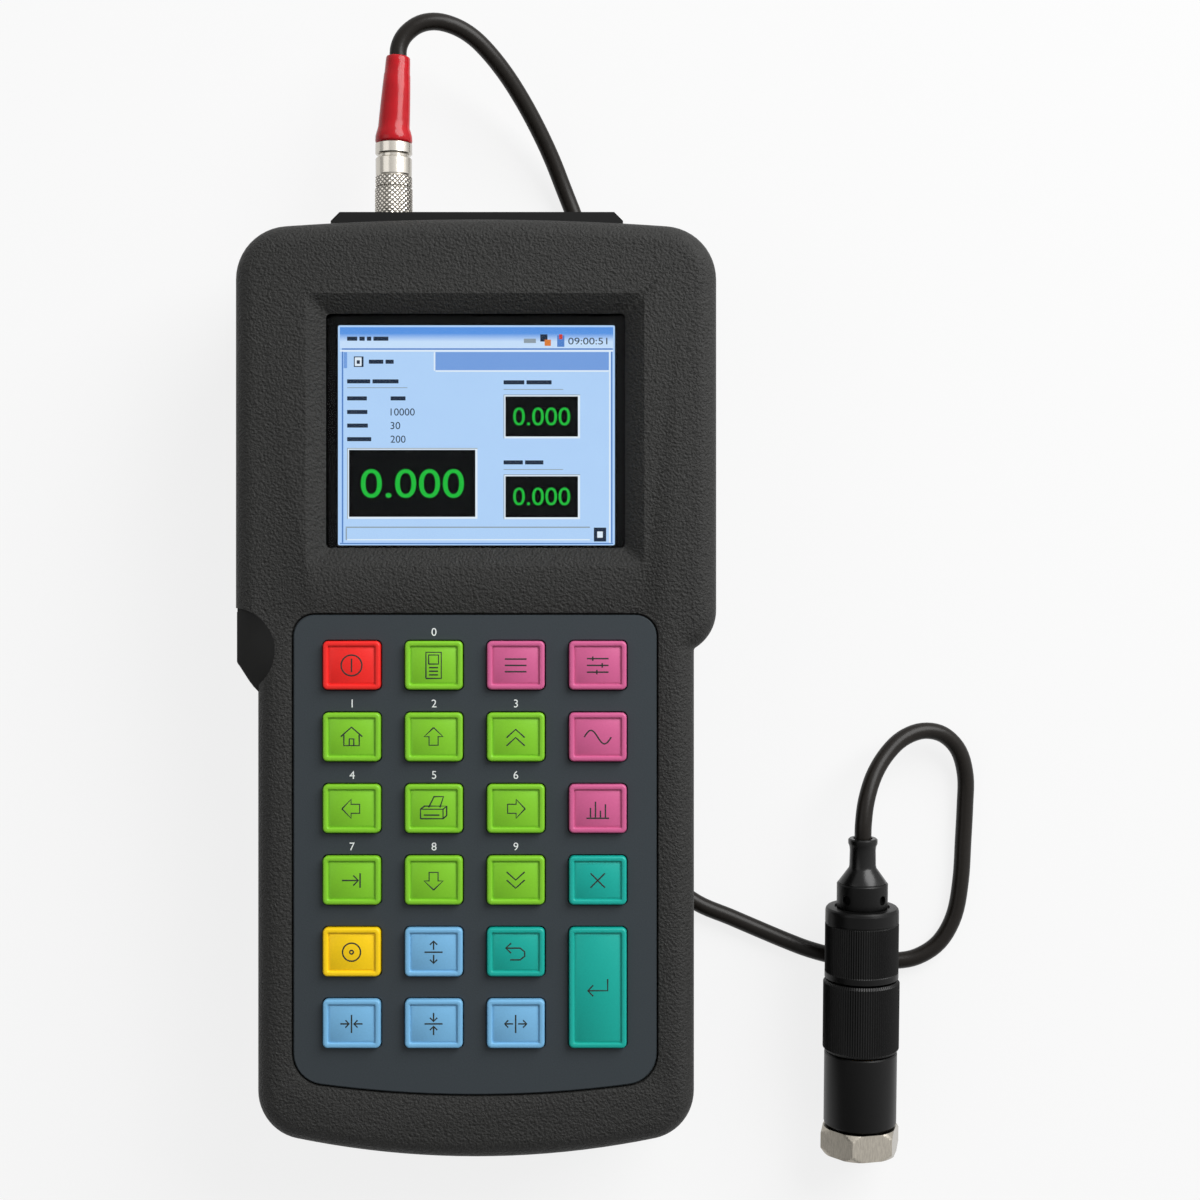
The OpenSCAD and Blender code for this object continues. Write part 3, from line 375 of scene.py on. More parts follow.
# Extruded PVC jacket: brownish grey, half dull
JACKET = Finish("grey_pvc_jacket", "#161310", 0.34, Grain.SATIN, 0.8, 0.01, 0.15, gloss=0.16)
# Finishes of the pieces that keep their CAD mesh, by the record's slot
INSIDE = {
    "rubber_black": RUBBER,
    "tray_black": Finish("black_tray_abs", "#1a1a1a", 0.55, grain_mm=0.6),
    "mat_grey": Finish("grey_silicone_mat", "#8d9194", 0.6),
    "board_green": Finish("green_solder_mask", "#1f5a38", 0.35, grain_mm=1.2, tint=0.12),
    "panel_black": PANEL,
    "nickel": NICKEL,
    "port_steel": metal("bright_sheet_steel", "#b5b7b9", 0.25, 0.4, 0.002, 0.05),
    "cell_blue": Finish("blue_shrink_sleeve", "#2c4f93", 0.3, Grain.GLOSS, 2.0, 0.02, 0.06),
    "screw_steel": metal("zinc_plated_steel", "#9fa3a6", 0.32, 0.3, 0.004, 0.1),
    "gold_brass": metal("gold_plated_brass", "#c89b45", 0.22, 0.3, 0.003, 0.06),
    "magnet_grey": metal("nickel_plated_magnet", "#8b8d90", 0.3, 0.3, 0.003, 0.06),
    "case_black": CASE,
}


class Cap(Enum):
    """Colours of the keys' silicone caps."""

    RED = "#db221d"
    GREEN = "#74b524"
    PINK = "#bb5682"
    TEAL = "#0c998c"
    YELLOW = "#e8c00c"
    BLUE = "#6ea6cc"

    def finish(self) -> Finish:
        """Moulded silicone: saturated, with a soft sheen."""
        name = "silicone_" + self.name.lower()
        return Finish(name, self.value, 0.42, Grain.SATIN, 0.4, 0.006, 0.03, gloss=0.3)


# Modelling


def clear_selection() -> None:
    """Leaves object mode with nothing selected."""
    if bpy.context.object and bpy.context.object.mode != "OBJECT":
        bpy.ops.object.mode_set(mode="OBJECT")
    bpy.ops.object.select_all(action="DESELECT")


def choose(piece: Object) -> None:
    """Makes one object the selected and active one.

    Args:
        piece: the object.
    """
    clear_selection()
    piece.select_set(True)
    bpy.context.view_layer.objects.active = piece


def set_ring(piece: Object, ring: Ring) -> None:
    """Moves the selected loop of vertices onto a ring.

    Args:
        piece: the object that is in edit mode.
        ring: the places of the loop's vertices, in millimetres.
    """
    shape = bmesh.from_edit_mesh(piece.data)
    place = shape.verts.layers.int["place"]
    for vertex in shape.verts:
        if vertex.select:
            vertex.co = Vector(ring[vertex[place]]) * MM
    bmesh.update_edit_mesh(piece.data)


def loft(name: str, rings: Sequence[Ring]) -> Object:
    """Extrudes a filled outline from ring to ring into one closed body.

    Args:
        name: name of the new object.
        rings: outlines with the same number of points, in millimetres.

    Returns:
        The new object, in object mode.
    """
    clear_selection()
    bpy.ops.mesh.primitive_circle_add(vertices=len(rings[0]), radius=MM, fill_type="NGON")
    piece = bpy.context.object
    piece.name = name
    bpy.ops.object.mode_set(mode="EDIT")
    bpy.ops.mesh.select_all(action="SELECT")
    shape = bmesh.from_edit_mesh(piece.data)
    place = shape.verts.layers.int.new("place")
    for number, vertex in enumerate(shape.verts):
        vertex[place] = number
    set_ring(piece, rings[0])
    for ring in rings[1:]:
        bpy.ops.mesh.extrude_region_move()
        set_ring(piece, ring)
    bpy.ops.mesh.select_all(action="SELECT")
    bpy.ops.mesh.normals_make_consistent(inside=False)
    bpy.ops.object.mode_set(mode="OBJECT")
    piece.data.attributes.remove(piece.data.attributes["place"])
    return piece


def arc(centre: Vector, radius: float, start: float, end: float, steps: int = 8) -> list[Vector]:
    """Points of a flat arc.

    Args:
        centre: its centre.
        radius: its radius.
        start: angle of its first point, in degrees.
        end: angle of its last point, in degrees.
        steps: number of steps between them.

    Returns:
        The points, first and last included.
    """
    angles = [math.radians(start + (end - start) * k / steps) for k in range(steps + 1)]
    return [centre + radius * Vector((math.cos(a), math.sin(a), 0)) for a in angles]


def plate_ring(
    centre: Vector, width: float, length: float, corner: float, z: float
) -> list[Vector]:
    """Rectangle with rounded corners.

    Args:
        centre: its middle; only x and y count.
        width: its size along x.
        length: its size along y.
        corner: radius of its corners.
        z: its height.

    Returns:
        Its points, anticlockwise.
    """
    points: list[Vector] = []
    corner = max(corner, 0.01)
    for number, (sx, sy) in enumerate(((1, -1), (1, 1), (-1, 1), (-1, -1))):
        pivot = Vector(
            (centre.x + sx * (width / 2 - corner), centre.y + sy * (length / 2 - corner), z)
        )
        points += arc(pivot, corner, 90 * number - 90, 90 * number, 5)
    return points


def slab(
    name: str, centre: Vector, size: tuple[float, float], corner: float, z0: float, z1: float
) -> Object:
    """Plate with rounded corners between two heights.

    Args:
        name: name of the new object.
        centre: middle of the plate; only x and y count.
        size: width and length.
        corner: radius of its corners.
        z0: height of its lower face.
        z1: height of its upper face.

    Returns:
        The new object.
    """
    return loft(name, [plate_ring(centre, *size, corner, z) for z in (z0, z1)])


def flat_size(low: Vector, high: Vector) -> tuple[float, float]:
    """Width and length between two corners."""
    return high.x - low.x, high.y - low.y


def crown_reach(crown: float, corner: float, lean: float) -> float:
    """How far a rounded corner's centre lies from the centre of the bowed end that it joins."""
    return (crown - corner) * math.cos(math.radians(lean))


@dataclass(frozen=True)
class Axis:
    """A line on which turned pieces are built, from an origin along a direction."""

    origin: Vector
    along: Vector

    def point(self, distance: float) -> Vector:
        """Point of the axis at a distance from its origin."""
        return self.origin + distance * self.along

    def outward(self, angle: float) -> Vector:
        """Direction away from the axis at an angle round it, in radians."""
        side = self.along.cross(UP).normalized()
        return math.cos(angle) * side + math.sin(angle) * side.cross(self.along)

    def ring(self, distance: float, radii: Sequence[float], turn: float = 0.0) -> list[Vector]:
        """Points round the axis.

        Args:
            distance: distance of the ring along the axis.
            radii: radius of each of its points.
            turn: angle of the first point, in degrees.

        Returns:
            The points, one for each radius.
        """
        start = math.radians(turn)
        return [
            self.point(distance) + radius * self.outward(start + math.tau * k / len(radii))
            for k, radius in enumerate(radii)
        ]


def turned(
    name: str,
    axis: Axis,
    profile: Sequence[tuple[float, float]],
    sides: int = 72,
    relief: Callable[[int, int], float] | None = None,
) -> Object:
    """Body of revolution, with an optional relief of its side.

    Args:
        name: name of the new object.
        axis: the line that it is turned about.
        profile: distance along the axis and radius of each ring.
        sides: number of points round it.
        relief: what a ring and point number add to the radius.

    Returns:
        The new object.
    """
    rings = []
    for number, (distance, radius) in enumerate(profile):
        radii = [radius + (relief(number, side) if relief else 0.0) for side in range(sides)]
        rings.append(axis.ring(distance, radii))
    return loft(name, rings)


def apply(piece: Object, kind: str, **settings: object) -> None:
    """Adds a modifier with its settings and applies it.

    Args:
        piece: the object that gets it.
        kind: Blender's name of the modifier type.
        **settings: values of its properties.
    """
    choose(piece)
    modifier = piece.modifiers.new("shaping", kind)
    for name, value in settings.items():
        setattr(modifier, name, value)
    bpy.ops.object.modifier_apply(modifier=modifier.name)


def join(pieces: Sequence[Object], name: str = "") -> Object:
    """Joins several objects into the first.

    Args:
        pieces: the objects.
        name: new name of the result, if it gets one.

    Returns:
        The joined object.
    """
    choose(pieces[0])
    for piece in pieces:
        piece.select_set(True)
    if len(pieces) > 1:
        bpy.ops.object.join()
    if name:
        pieces[0].name = name
    return pieces[0]


def cut(piece: Object, tools: Sequence[Object]) -> None:
    """Cuts other bodies out of a piece and removes them.

    Args:
        piece: the piece that is cut.
        tools: the other bodies, which don't overlap one another.
    """
    tool = join(tools)
    apply(piece, "BOOLEAN", operation="DIFFERENCE", solver="EXACT", object=tool)
    bpy.data.objects.remove(tool)


def bevel(piece: Object, width: float, segments: int, angle: float) -> None:
    """Rounds a piece's sharp edges.

    Args:
        piece: the piece.
        width: width of the rounding, in millimetres.
        segments: number of faces across it.
        angle: smallest angle between faces that is rounded, in degrees.
    """
    apply(
        piece,
        "BEVEL",
        width=width * MM,
        segments=segments,
        limit_method="ANGLE",
        angle_limit=math.radians(angle),
        use_clamp_overlap=False,
    )


def dress(
    piece: Object,
    finish: Finish,
    body: str,
    stands_for: Iterable[str] = (),
    smooth: float = 32,
) -> Object:
    """Finishes a piece: shading, material and body.

    Args:
        piece: the piece.
        finish: its finish.
        body: the CAD body that it rides on.
        stands_for: CAD nodes that it replaces.
        smooth: largest angle between faces that is shaded smooth, in degrees.

    Returns:
        The piece.
    """
    choose(piece)
    bpy.ops.object.shade_smooth_by_angle(angle=math.radians(smooth))
    if not piece.data.materials:
        piece.data.materials.append(finish.material())
    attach(piece, body)
    for node in stands_for:
        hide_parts(node)
    LOG.info("%s: %d faces, rides on %s", piece.name, len(piece.data.polygons), body)
    return piece


def lettered(
    name: str, text: str, centre: Vector, height: float, width: float, z: float, thick: float
) -> Object:
    """Plain figures as a thin solid.

    Args:
        name: name of the new object.
        text: the figures.
        centre: their middle; only x and y count.
        height: their height.
        width: their width, or 0 to keep the type's own.
        z: height of their lower face.
        thick: their thickness.

    Returns:
        The new object.
    """
    clear_selection()
    bpy.ops.object.text_add()
    piece = bpy.context.object
    piece.data.body = text
    # Any depth will do here, because the figures are scaled to their thickness below
    piece.data.extrude = 0.05
    bpy.ops.object.convert(target="MESH")
    piece.name = name
    places = [vertex.co.copy() for vertex in piece.data.vertices]
    low = Vector([min(p[k] for p in places) for k in range(3)])
    high = Vector([max(p[k] for p in places) for k in range(3)])
    rise = height / (high.y - low.y)
    stretch = width / (high.x - low.x) if width else rise
    for vertex in piece.data.vertices:
        local = vertex.co - (low + high) / 2
        lift = z + thick / 2 + local.z / (high.z - low.z) * thick
        vertex.co = Vector((centre.x + local.x * stretch, centre.y + local.y * rise, lift)) * MM
    return piece


def inked(
    name: str, strokes: Sequence[Stroke], centre: Vector, z: float, width: float, flat: float = 0.25
) -> Object:
    """Line drawing printed on a flat face.

    Args:
        name: name of the new object.
        strokes: lines of the drawing about its middle.
        centre: middle of the drawing; only x and y count.
        z: height of the face that it is printed on.
        width: width of its lines.
        flat: share of its lines' round section that is left of its height.

    Returns:
        The drawing as a thin mesh.
    """
    line = bpy.data.curves.new(name, "CURVE")
    line.dimensions = "3D"
    line.bevel_depth = width / 2
    line.bevel_resolution = 1
    line.use_fill_caps = True
    for stroke in strokes:
        spline = line.splines.new("POLY")
        spline.points.add(len(stroke) - 1)
        for point, (x, y) in zip(spline.points, stroke):
            point.co = (x, y, 0, 1)
    piece = bpy.data.objects.new(name, line)
    bpy.context.scene.collection.objects.link(piece)
    choose(piece)
    bpy.ops.object.convert(target="MESH")
    for vertex in piece.data.vertices:
        x, y, lift = vertex.co
        vertex.co = Vector((centre.x + x, centre.y + y, z + lift * flat)) * MM
    return piece


# Sub-assemblies


@dataclass(frozen=True)
class SoftBox:
    """A square lamp: its name, place in millimetres, side in metres and power in watts."""

    name: str
    place: tuple[float, float, float]
    side: float
    power: float


@dataclass
class Studio:
    """Camera, lamps, world and floor."""

    camera_x: float = 27.8
    camera_y: float = 112.8
    camera_z: float = 484.0
    lens: float = 59.67
    sensor: float = 36.0
    clip: tuple[float, float] = (0.01, 20.0)
    floor: float = 3.0
    # The table's own light where it is seen, and its share against the paper's shading
    paper_glow: float = 0.94
    paper_share: float = 0.88
    world_light: float = 0.26
    # What shiny things mirror: its strength on the dull and on the bright side of the studio
    wall_light: tuple[float, float] = (0.35, 1.55)
    wall_reach: float = 1.2
    boxes: tuple[SoftBox, ...] = (
        SoftBox("key_lamp", (560, 660, 560), 0.7, 14.5),
        SoftBox("fill_lamp", (-620, 180, 640), 0.6, 1.0),
    )

    def build(self) -> None:
        """Sets up everything that isn't part of the meter."""
        self.place_camera()
        self.light_world()
        for box in self.boxes:
            self.lamp(box)
        self.lay_floor()
        bpy.context.scene.view_settings.view_transform = "Standard"

    def place_camera(self) -> None:
        """Hangs the camera straight above the table, with the meter's top end up."""
        place = Vector((self.camera_x, self.camera_y, self.camera_z)) * MM
        bpy.ops.object.camera_add(location=place, rotation=(0, 0, 0))
        camera = bpy.context.object
        camera.name = "camera"
        camera.data.lens = self.lens
        camera.data.sensor_width = self.sensor
        camera.data.clip_start, camera.data.clip_end = self.clip
        camera.data.dof.use_dof = False
        bpy.context.scene.camera = camera

    def lamp(self, box: SoftBox) -> None:
        """Adds a soft box that faces the point under the camera.

        Args:
            box: the soft box.
        """
        place = Vector(box.place)
        aim = Vector((self.camera_x, self.camera_y, 0))
        bpy.ops.object.light_add(type="AREA", location=place * MM)
        lamp = bpy.context.object
        lamp.name = box.name
        lamp.rotation_euler = (aim - place).to_track_quat("-Z", "Y").to_euler()
        lamp.data.size = box.side
        lamp.data.energy = box.power

    @staticmethod
    def seen_rays(tree: NodeTree) -> NodeSocket:
        """Output that is one for camera, glossy and transmission rays, and zero for others.

        Args:
            tree: the node tree that it is in.

        Returns:
            The output.
        """
        path = add_node(tree, "ShaderNodeLightPath").outputs
        first = maths(tree, "MAXIMUM", path["Is Camera Ray"], path["Is Glossy Ray"])
        return maths(tree, "MAXIMUM", first, path["Is Transmission Ray"])

    def soft_wall(self, tree: NodeTree) -> NodeSocket:
        """What shiny things mirror: a studio that is brighter on the key lamp's side.

        Args:
            tree: the world's node tree.

        Returns:
            The output that holds its light.
        """
        way = add_node(tree, "ShaderNodeTexCoord")
        axes = add_node(tree, "ShaderNodeSeparateXYZ", links={0: way.outputs["Generated"]})
        low, high = self.wall_light
        level = add_node(
            tree,
            "ShaderNodeMapRange",
            {
                "From Min": -self.wall_reach,
                "From Max": self.wall_reach,
                "To Min": low,
                "To Max": high,
            },
            {"Value": maths(tree, "ADD", axes.outputs["X"], axes.outputs["Y"])},
        )
        wall = add_node(
            tree,
            "ShaderNodeBackground",
            {"Color": linear("#ffffff")},
            {"Strength": level.outputs["Result"]},
        )
        return wall.outputs["Background"]

    def light_world(self) -> None:
        """Gives a white backdrop where it is seen, a soft wall to mirror, and grey light."""
        world = bpy.data.worlds.new("studio")
        bpy.context.scene.world = world
        tree = empty_tree(world)
        backdrops = []
        for strength in (self.world_light, 1.0):
            settings = {"Color": linear("#ffffff"), "Strength": strength}
            backdrops.append(add_node(tree, "ShaderNodeBackground", settings).outputs["Background"])
        both = blended(tree, self.seen_rays(tree), *backdrops)
        path = add_node(tree, "ShaderNodeLightPath")
        last = blended(tree, path.outputs["Is Glossy Ray"], both, self.soft_wall(tree))
        add_node(tree, "ShaderNodeOutputWorld", links={"Surface": last})

    def lay_floor(self) -> None:
        """Lays a white table that keeps the meter's soft shadow."""
        clear_selection()
        bpy.ops.mesh.primitive_plane_add(size=self.floor, location=(0, 0, 0))
        table = bpy.context.object
        table.name = "table"
        paper = bpy.data.materials.new("white_paper")
        tree = empty_tree(paper)
        sheet = add_node(
            tree, "ShaderNodeBsdfDiffuse", {"Color": linear("#f4f4f4"), "Roughness": 0.5}
        )
        glow = add_node(
            tree, "ShaderNodeEmission", {"Color": linear("#ffffff"), "Strength": self.paper_glow}
        )
        share = maths(tree, "MULTIPLY", self.seen_rays(tree), self.paper_share)
        both = blended(tree, share, sheet.outputs["BSDF"], glow.outputs["Emission"])
        add_node(tree, "ShaderNodeOutputMaterial", links={"Surface": both})
        table.data.materials.append(paper)


@dataclass
class SensorCable:
    """The cable, from the plug's boot, under the case, to the sensor's gland."""

    diameter: float = 4.0
    length: float = 400.0
    route: tuple[tuple[float, float, float], ...] = (
        (-19.0, 237.6, 23.0), (-18.8, 241.0, 23.0), (-17.2, 244.0, 22.9), (-14.0, 246.4, 22.6),
        (-10.0, 247.2, 21.8), (-5.6, 246.3, 20.5), (-1.6, 244.2, 18.8), (2.2, 240.8, 16.6),
        (6.0, 236.4, 13.8), (9.6, 231.2, 10.8), (13.0, 225.4, 7.9), (16.2, 219.0, 5.2),
        (19.0, 212.2, 3.2), (21.8, 205.2, 2.2), (24.6, 198.0, 2.0), (28.2, 186.0, 2.0),
        (31.2, 170.0, 2.0), (32.8, 152.0, 2.0), (33.0, 134.0, 2.0), (32.4, 116.0, 2.0),
        (31.8, 98.0, 2.0), (32.2, 82.0, 2.0), (34.0, 67.0, 2.0), (37.8, 54.6, 2.0),
        (43.6, 45.6, 2.0), (51.0, 39.6, 2.0), (59.4, 36.0, 2.0), (66.4, 33.0, 2.0),
        (72.6, 30.4, 2.0), (78.4, 28.2, 2.0), (84.6, 26.6, 2.0), (91.6, 25.8, 2.0),
        (98.6, 25.4, 2.0), (104.6, 26.4, 2.0), (110.0, 30.0, 2.0), (113.6, 36.4, 2.0),
        (115.2, 45.0, 2.0), (115.8, 54.6, 2.0), (116.2, 63.0, 2.2), (116.2, 70.2, 2.8),
        (114.4, 76.4, 3.8), (110.4, 80.4, 5.2), (105.2, 81.4, 6.8), (100.0, 79.6, 8.6),
        (95.8, 75.8, 10.6), (92.6, 71.0, 13.0), (90.6, 65.4, 15.0), (89.8, 60.2, 15.9),
        (89.7, 56.2, 15.7),
    )

    def smooth_route(self, steps: int = 5) -> list[Vector]:
        """Runs a smooth curve through the route's points.

        Args:
            steps: points of the curve for each step of the route.

        Returns:
            The curve's points, in millimetres.
        """
        points = [Vector(p) for p in self.route]
        first = 2 * points[0] - points[1]
        last = 2 * points[-1] - points[-2]
        knots = [first, *points, last]
        curve = []
        for k in range(1, len(knots) - 2):
            a, b, c, d = knots[k - 1 : k + 3]
            for step in range(steps):
                t = step / steps
                curve.append(
                    0.5
                    * (
                        2 * b
                        + (c - a) * t
                        + (2 * a - 5 * b + 4 * c - d) * t**2
                        + (3 * b - a - 3 * c + d) * t**3
                    )
                )
        return [*curve, points[-1]]

    def build(self, on_it: Sequence[Object | str]) -> None:
        """Args:
            on_it: the pieces of the plug at its end; not used.
        """
        places = self.smooth_route()
        line = bpy.data.curves.new("sensor_lead", "CURVE")
        line.dimensions = "3D"
        line.bevel_depth = self.diameter / 2 * MM
        line.bevel_resolution = 6
        line.use_fill_caps = True
        spline = line.splines.new("POLY")
        spline.points.add(len(places) - 1)
        for point, place in zip(spline.points, places):
            point.co = (*(place * MM), 1)
        spline.use_smooth = True
        lead = bpy.data.objects.new("sensor_lead", line)
        bpy.context.scene.collection.objects.link(lead)
        line.materials.append(JACKET.material())
        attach(lead, "meter")
        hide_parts("sensor_cable")
        LOG.info("sensor_lead: %d points, rides on meter", len(places))


@dataclass
class Case:
    """Front and rear shell and their strap lug."""

    grip: float = 48.9
    low_crown: float = 200.0
    low_corner: float = 11.0
    high_crown: float = 600.0
    high_corner: float = 12.0
    shoulder_drop: float = 87.7
    shoulder: float = 9.94
    waist: float = 0.8
    edge: float = 4.8
    edge_steps: int = 9
    wall: float = 2.4
    face_wall: float = 2.6
    seam: float = 0.35
    mould_radius: float = 0.28
    bevel_angle: float = 28.0
    lug_proud: float = 0.15
    lug: float = 10.0
    lug_fall: float = 8.9
    lug_end: float = 9.6
    lug_lead: float = 2.6
    lug_lift: float = 0.5
    lug_cover: float = 0.4
    # Margins of the plain finish: at the case's side, at its head and round the scoop
    plain_margin: tuple[float, float, float] = (0.1, 0.4, 0.05)
    # Outer side of the lug, from its straight part down to where it meets the grip
    lug_side: tuple[tuple[float, float], ...] = (
        (0, 8.6), (0, -2.6), (0.18, -3.1), (0.7, -3.7), (3, -6.9), (4.1, -8.2), (5.6, -9.6)
    )
    scoop_depth: float = 6.0
    scoop_step: float = 0.12
    scoop_lean: float = 28.0
    scoop_share: float = 0.94
    lug_scoop: float = 1.6
    scoop_sides: int = 48
    slope: float = 4.7
    slope_over: float = 0.4
    frame_corners: tuple[float, float] = (0.9, 1.6)
    window_sink: float = 2.8
    window_size: tuple[float, float] = (65.9, 51.4)
    window_drop: float = 47.6
    key_room: float = 0.5
    key_corner: float = 1.2
    key_over: float = 0.3
    plate_lip: float = 1.8
    plate_past: float = 6.0
    cover_room: float = 0.2
    cover_corner: float = 4.2
    cover_over: float = 0.1
    # Radius and length of the cut for a screw's head
    well: tuple[float, float] = (3.3, 4.0)
    screw_inset: float = 8.9
    # Places of the screws: from the top end, from the shoulder and from the foot
    screw_ends: tuple[float, float, float] = (14.0, 4.5, 13.5)
    rail_inset: float = 5.1
    rail_size: tuple[float, float] = (9.0, 56.0)
    heel_size: tuple[float, float] = (44.0, 11.0)
    foot_corner: float = 3.0
    # How far a cutting body reaches past what it cuts
    past: float = 1.0
    low: Vector = field(default_factory=lambda: corners("rear_shell")[0])
    high: Vector = field(default_factory=lambda: corners("front_shell")[1])
    split: float = field(default_factory=lambda: corners("front_shell")[0].z)
    back: float = field(default_factory=lambda: corners("battery_cover")[0].z)

    def outline(self, inset: float, z: float) -> list[Vector]:
        """Outline of the case.

        Args:
            inset: how far it is drawn in.
            z: its height.

        Returns:
            Its points, anticlockwise.
        """
        head = self.high.x
        bend = self.shoulder + self.waist
        turn = math.degrees(math.acos(1 - (head - self.grip) / bend))
        shoulder_y = self.high.y - self.shoulder_drop
        low_lean = self.lean(self.grip, self.low_crown, self.low_corner)
        high_lean = self.lean(head, self.high_crown, self.high_corner)
        low_centre = self.low.y + self.low_crown
        high_centre = self.high.y - self.high_crown
        low_mid = low_centre - crown_reach(self.low_crown, self.low_corner, low_lean)
        high_mid = high_centre + crown_reach(self.high_crown, self.high_corner, high_lean)
        waist_y = shoulder_y - bend * math.sin(math.radians(turn))
        half: list[Vector] = []
        for x, y, radius, start, end, steps in (
            (0, low_centre, self.low_crown - inset, -90, low_lean - 90, 10),
            (self.grip - self.low_corner, low_mid, self.low_corner - inset, low_lean - 90, 0, 12),
            (self.grip + self.waist, waist_y, self.waist + inset, 180, 180 - turn, 8),
            (head - self.shoulder, shoulder_y, self.shoulder - inset, -turn, 0, 10),
            (head - self.high_corner, high_mid, self.high_corner - inset, 0, 90 - high_lean, 12),
            (0, high_centre, self.high_crown - inset, 90 - high_lean, 90, 8),
        ):
            points = arc(Vector((x, y, z)), radius, start, end, steps)
            joined = half and (points[0] - half[-1]).length < TOUCHING
            half += points[1:] if joined else points
        return half + [Vector((-p.x, p.y, p.z)) for p in half[-2:0:-1]]

    @staticmethod
    def lean(side: float, crown: float, corner: float) -> float:
        """Angle at which a corner's arc leaves the end's arc, in degrees."""
        return math.degrees(math.asin((side - corner) / (crown - corner)))

    def shell(self, name: str, seam_z: float, flat_z: float) -> Object:
        """Outside of one shell, with its rounded edge.

        Args:
            name: name of the new object.
            seam_z: height of the parting line.
            flat_z: height of the face or the back.

        Returns:
            The solid shell.
        """
        way = 1 if flat_z > seam_z else -1
        rings = [self.outline(self.seam, seam_z), self.outline(0, seam_z + way * self.seam)]
        for k in range(self.edge_steps + 1):
            a = math.pi / 2 * k / self.edge_steps
            height = flat_z - way * self.edge * (1 - math.sin(a))
            rings.append(self.outline(self.edge * (1 - math.cos(a)), height))
        return loft(name, rings)

    def lug_body(self, name: str, z0: float, z1: float) -> Object:
        """Strap lug that fills the left shoulder.

        Args:
            name: name of the new object.
            z0: height of its lower end.
            z1: height of its upper end.

        Returns:
            The lug.
        """
        centre = Vector((-self.lug_proud - self.high.x, self.lug_y(), 0))
        inner = self.lug * self.scoop_share + self.lug_cover
        end = self.lug_end
        flat = [*self.lug_side, (inner, -end), (inner, end), (self.lug_lead, end)]
        rings = [[centre + Vector((x, y, z)) for x, y in flat] for z in (z0, z1)]
        return loft(name, rings)

    def lug_y(self) -> float:
        """Place of the lug's middle along the case."""
        return self.high.y - self.shoulder_drop - self.lug_fall

    def window_y(self) -> float:
        """Place of the window's middle along the case."""
        return self.high.y - self.window_drop

    def cavity(self, z0: float, z1: float) -> Object:
        """Hollow of the case between two heights."""
        return loft("cavity", [self.outline(self.wall, z) for z in (z0, z1)])

    def scoop(self, radius: float, sink: float = 0.0) -> Object:
        """Round cut with a leaning floor, which hollows the lug's face.

        Args:
            radius: its radius.
            sink: how much deeper than the lug's own face it goes.

        Returns:
            The body that is cut away.
        """
        centre = Vector((-self.high.x, self.lug_y(), self.high.z - self.scoop_depth - sink))
        rise = math.tan(math.radians(self.scoop_lean))
        steps = self.scoop_sides - 1
        circle = arc(Vector((0, 0, 0)), radius, 0, 360 * steps / self.scoop_sides, steps)
        floor = [centre + Vector((p.x, p.y, p.x * rise)) for p in circle]
        top = [centre + Vector((p.x, p.y, 3 * self.scoop_depth)) for p in circle]
        return loft("scoop", [floor, top])

    def opening(self) -> Object:
        """Opening for the connector plate in the upper end.

        Returns:
            The body that is cut away.
        """
        low, high = corners("connector_plate")
        end = self.high.y + self.plate_past
        lip = self.plate_lip
        size = (high.x - low.x - 2 * lip, end - low.y)
        centre = Vector((0, (low.y + end) / 2, 0))
        return slab("opening", centre, size, 0.01, low.z + lip, high.z - lip)

    def build(self, keypad: "Keypad") -> None:
        """Makes both shells.

        Args:
            keypad: the keypad, which gives the openings of the face.
        """
        self.build_front(keypad)
        self.build_rear()

    def build_front(self, keypad: "Keypad") -> None:
        """Makes the front shell with its sloped screen frame and keypad seat.

        Args:
            keypad: the keypad, which gives the openings of the face.
        """
        face = self.high.z
        front = self.shell("front_case", self.split, face)
        cut(front, [self.cavity(self.split - 2 * self.past, face - self.face_wall)])
        centre = Vector((0, self.window_y(), 0))
        wide, tall = self.window_size
        sunk = face - self.window_sink
        grow = 2 * self.slope * (1 + self.slope_over / self.window_sink)
        sharp, round_corner = self.frame_corners
        frame_cut = loft(
            "frame_cut",
            [
                plate_ring(centre, wide, tall, sharp, sunk - 8 * self.past),
                plate_ring(centre, wide, tall, sharp, sunk),
                plate_ring(centre, wide + grow, tall + grow, round_corner, face + self.slope_over),
            ],
        )
        heights = (keypad.low_z, face + self.past)
        seat = loft("seat", [keypad.outline(keypad.gap, z) for z in heights])
        cut(front, [frame_cut, seat])
        floor = face - self.face_wall - self.past
        top = keypad.low_z + self.key_over
        cut(front, keypad.openings(self.key_room, self.key_corner, floor, top))
        cut(front, [self.opening()])
        self.soften(front)
        cut(front, [self.scoop(self.scoop_share * self.lug, self.scoop_step)])
        lug = self.lug_body("lug", self.split + self.seam, face + self.past)
        cut(lug, [self.scoop(self.lug_scoop * self.lug)])
        self.soften(lug)
        join([front, lug])
        self.grain_lug(front)
        dress(front, CASE, "meter", ["front_shell"], smooth=24)

    def soften(self, piece: Object) -> None:
        """Rounds the sharp edges of a moulding by the radius of its mould."""
        bevel(piece, self.mould_radius, 2, self.bevel_angle)

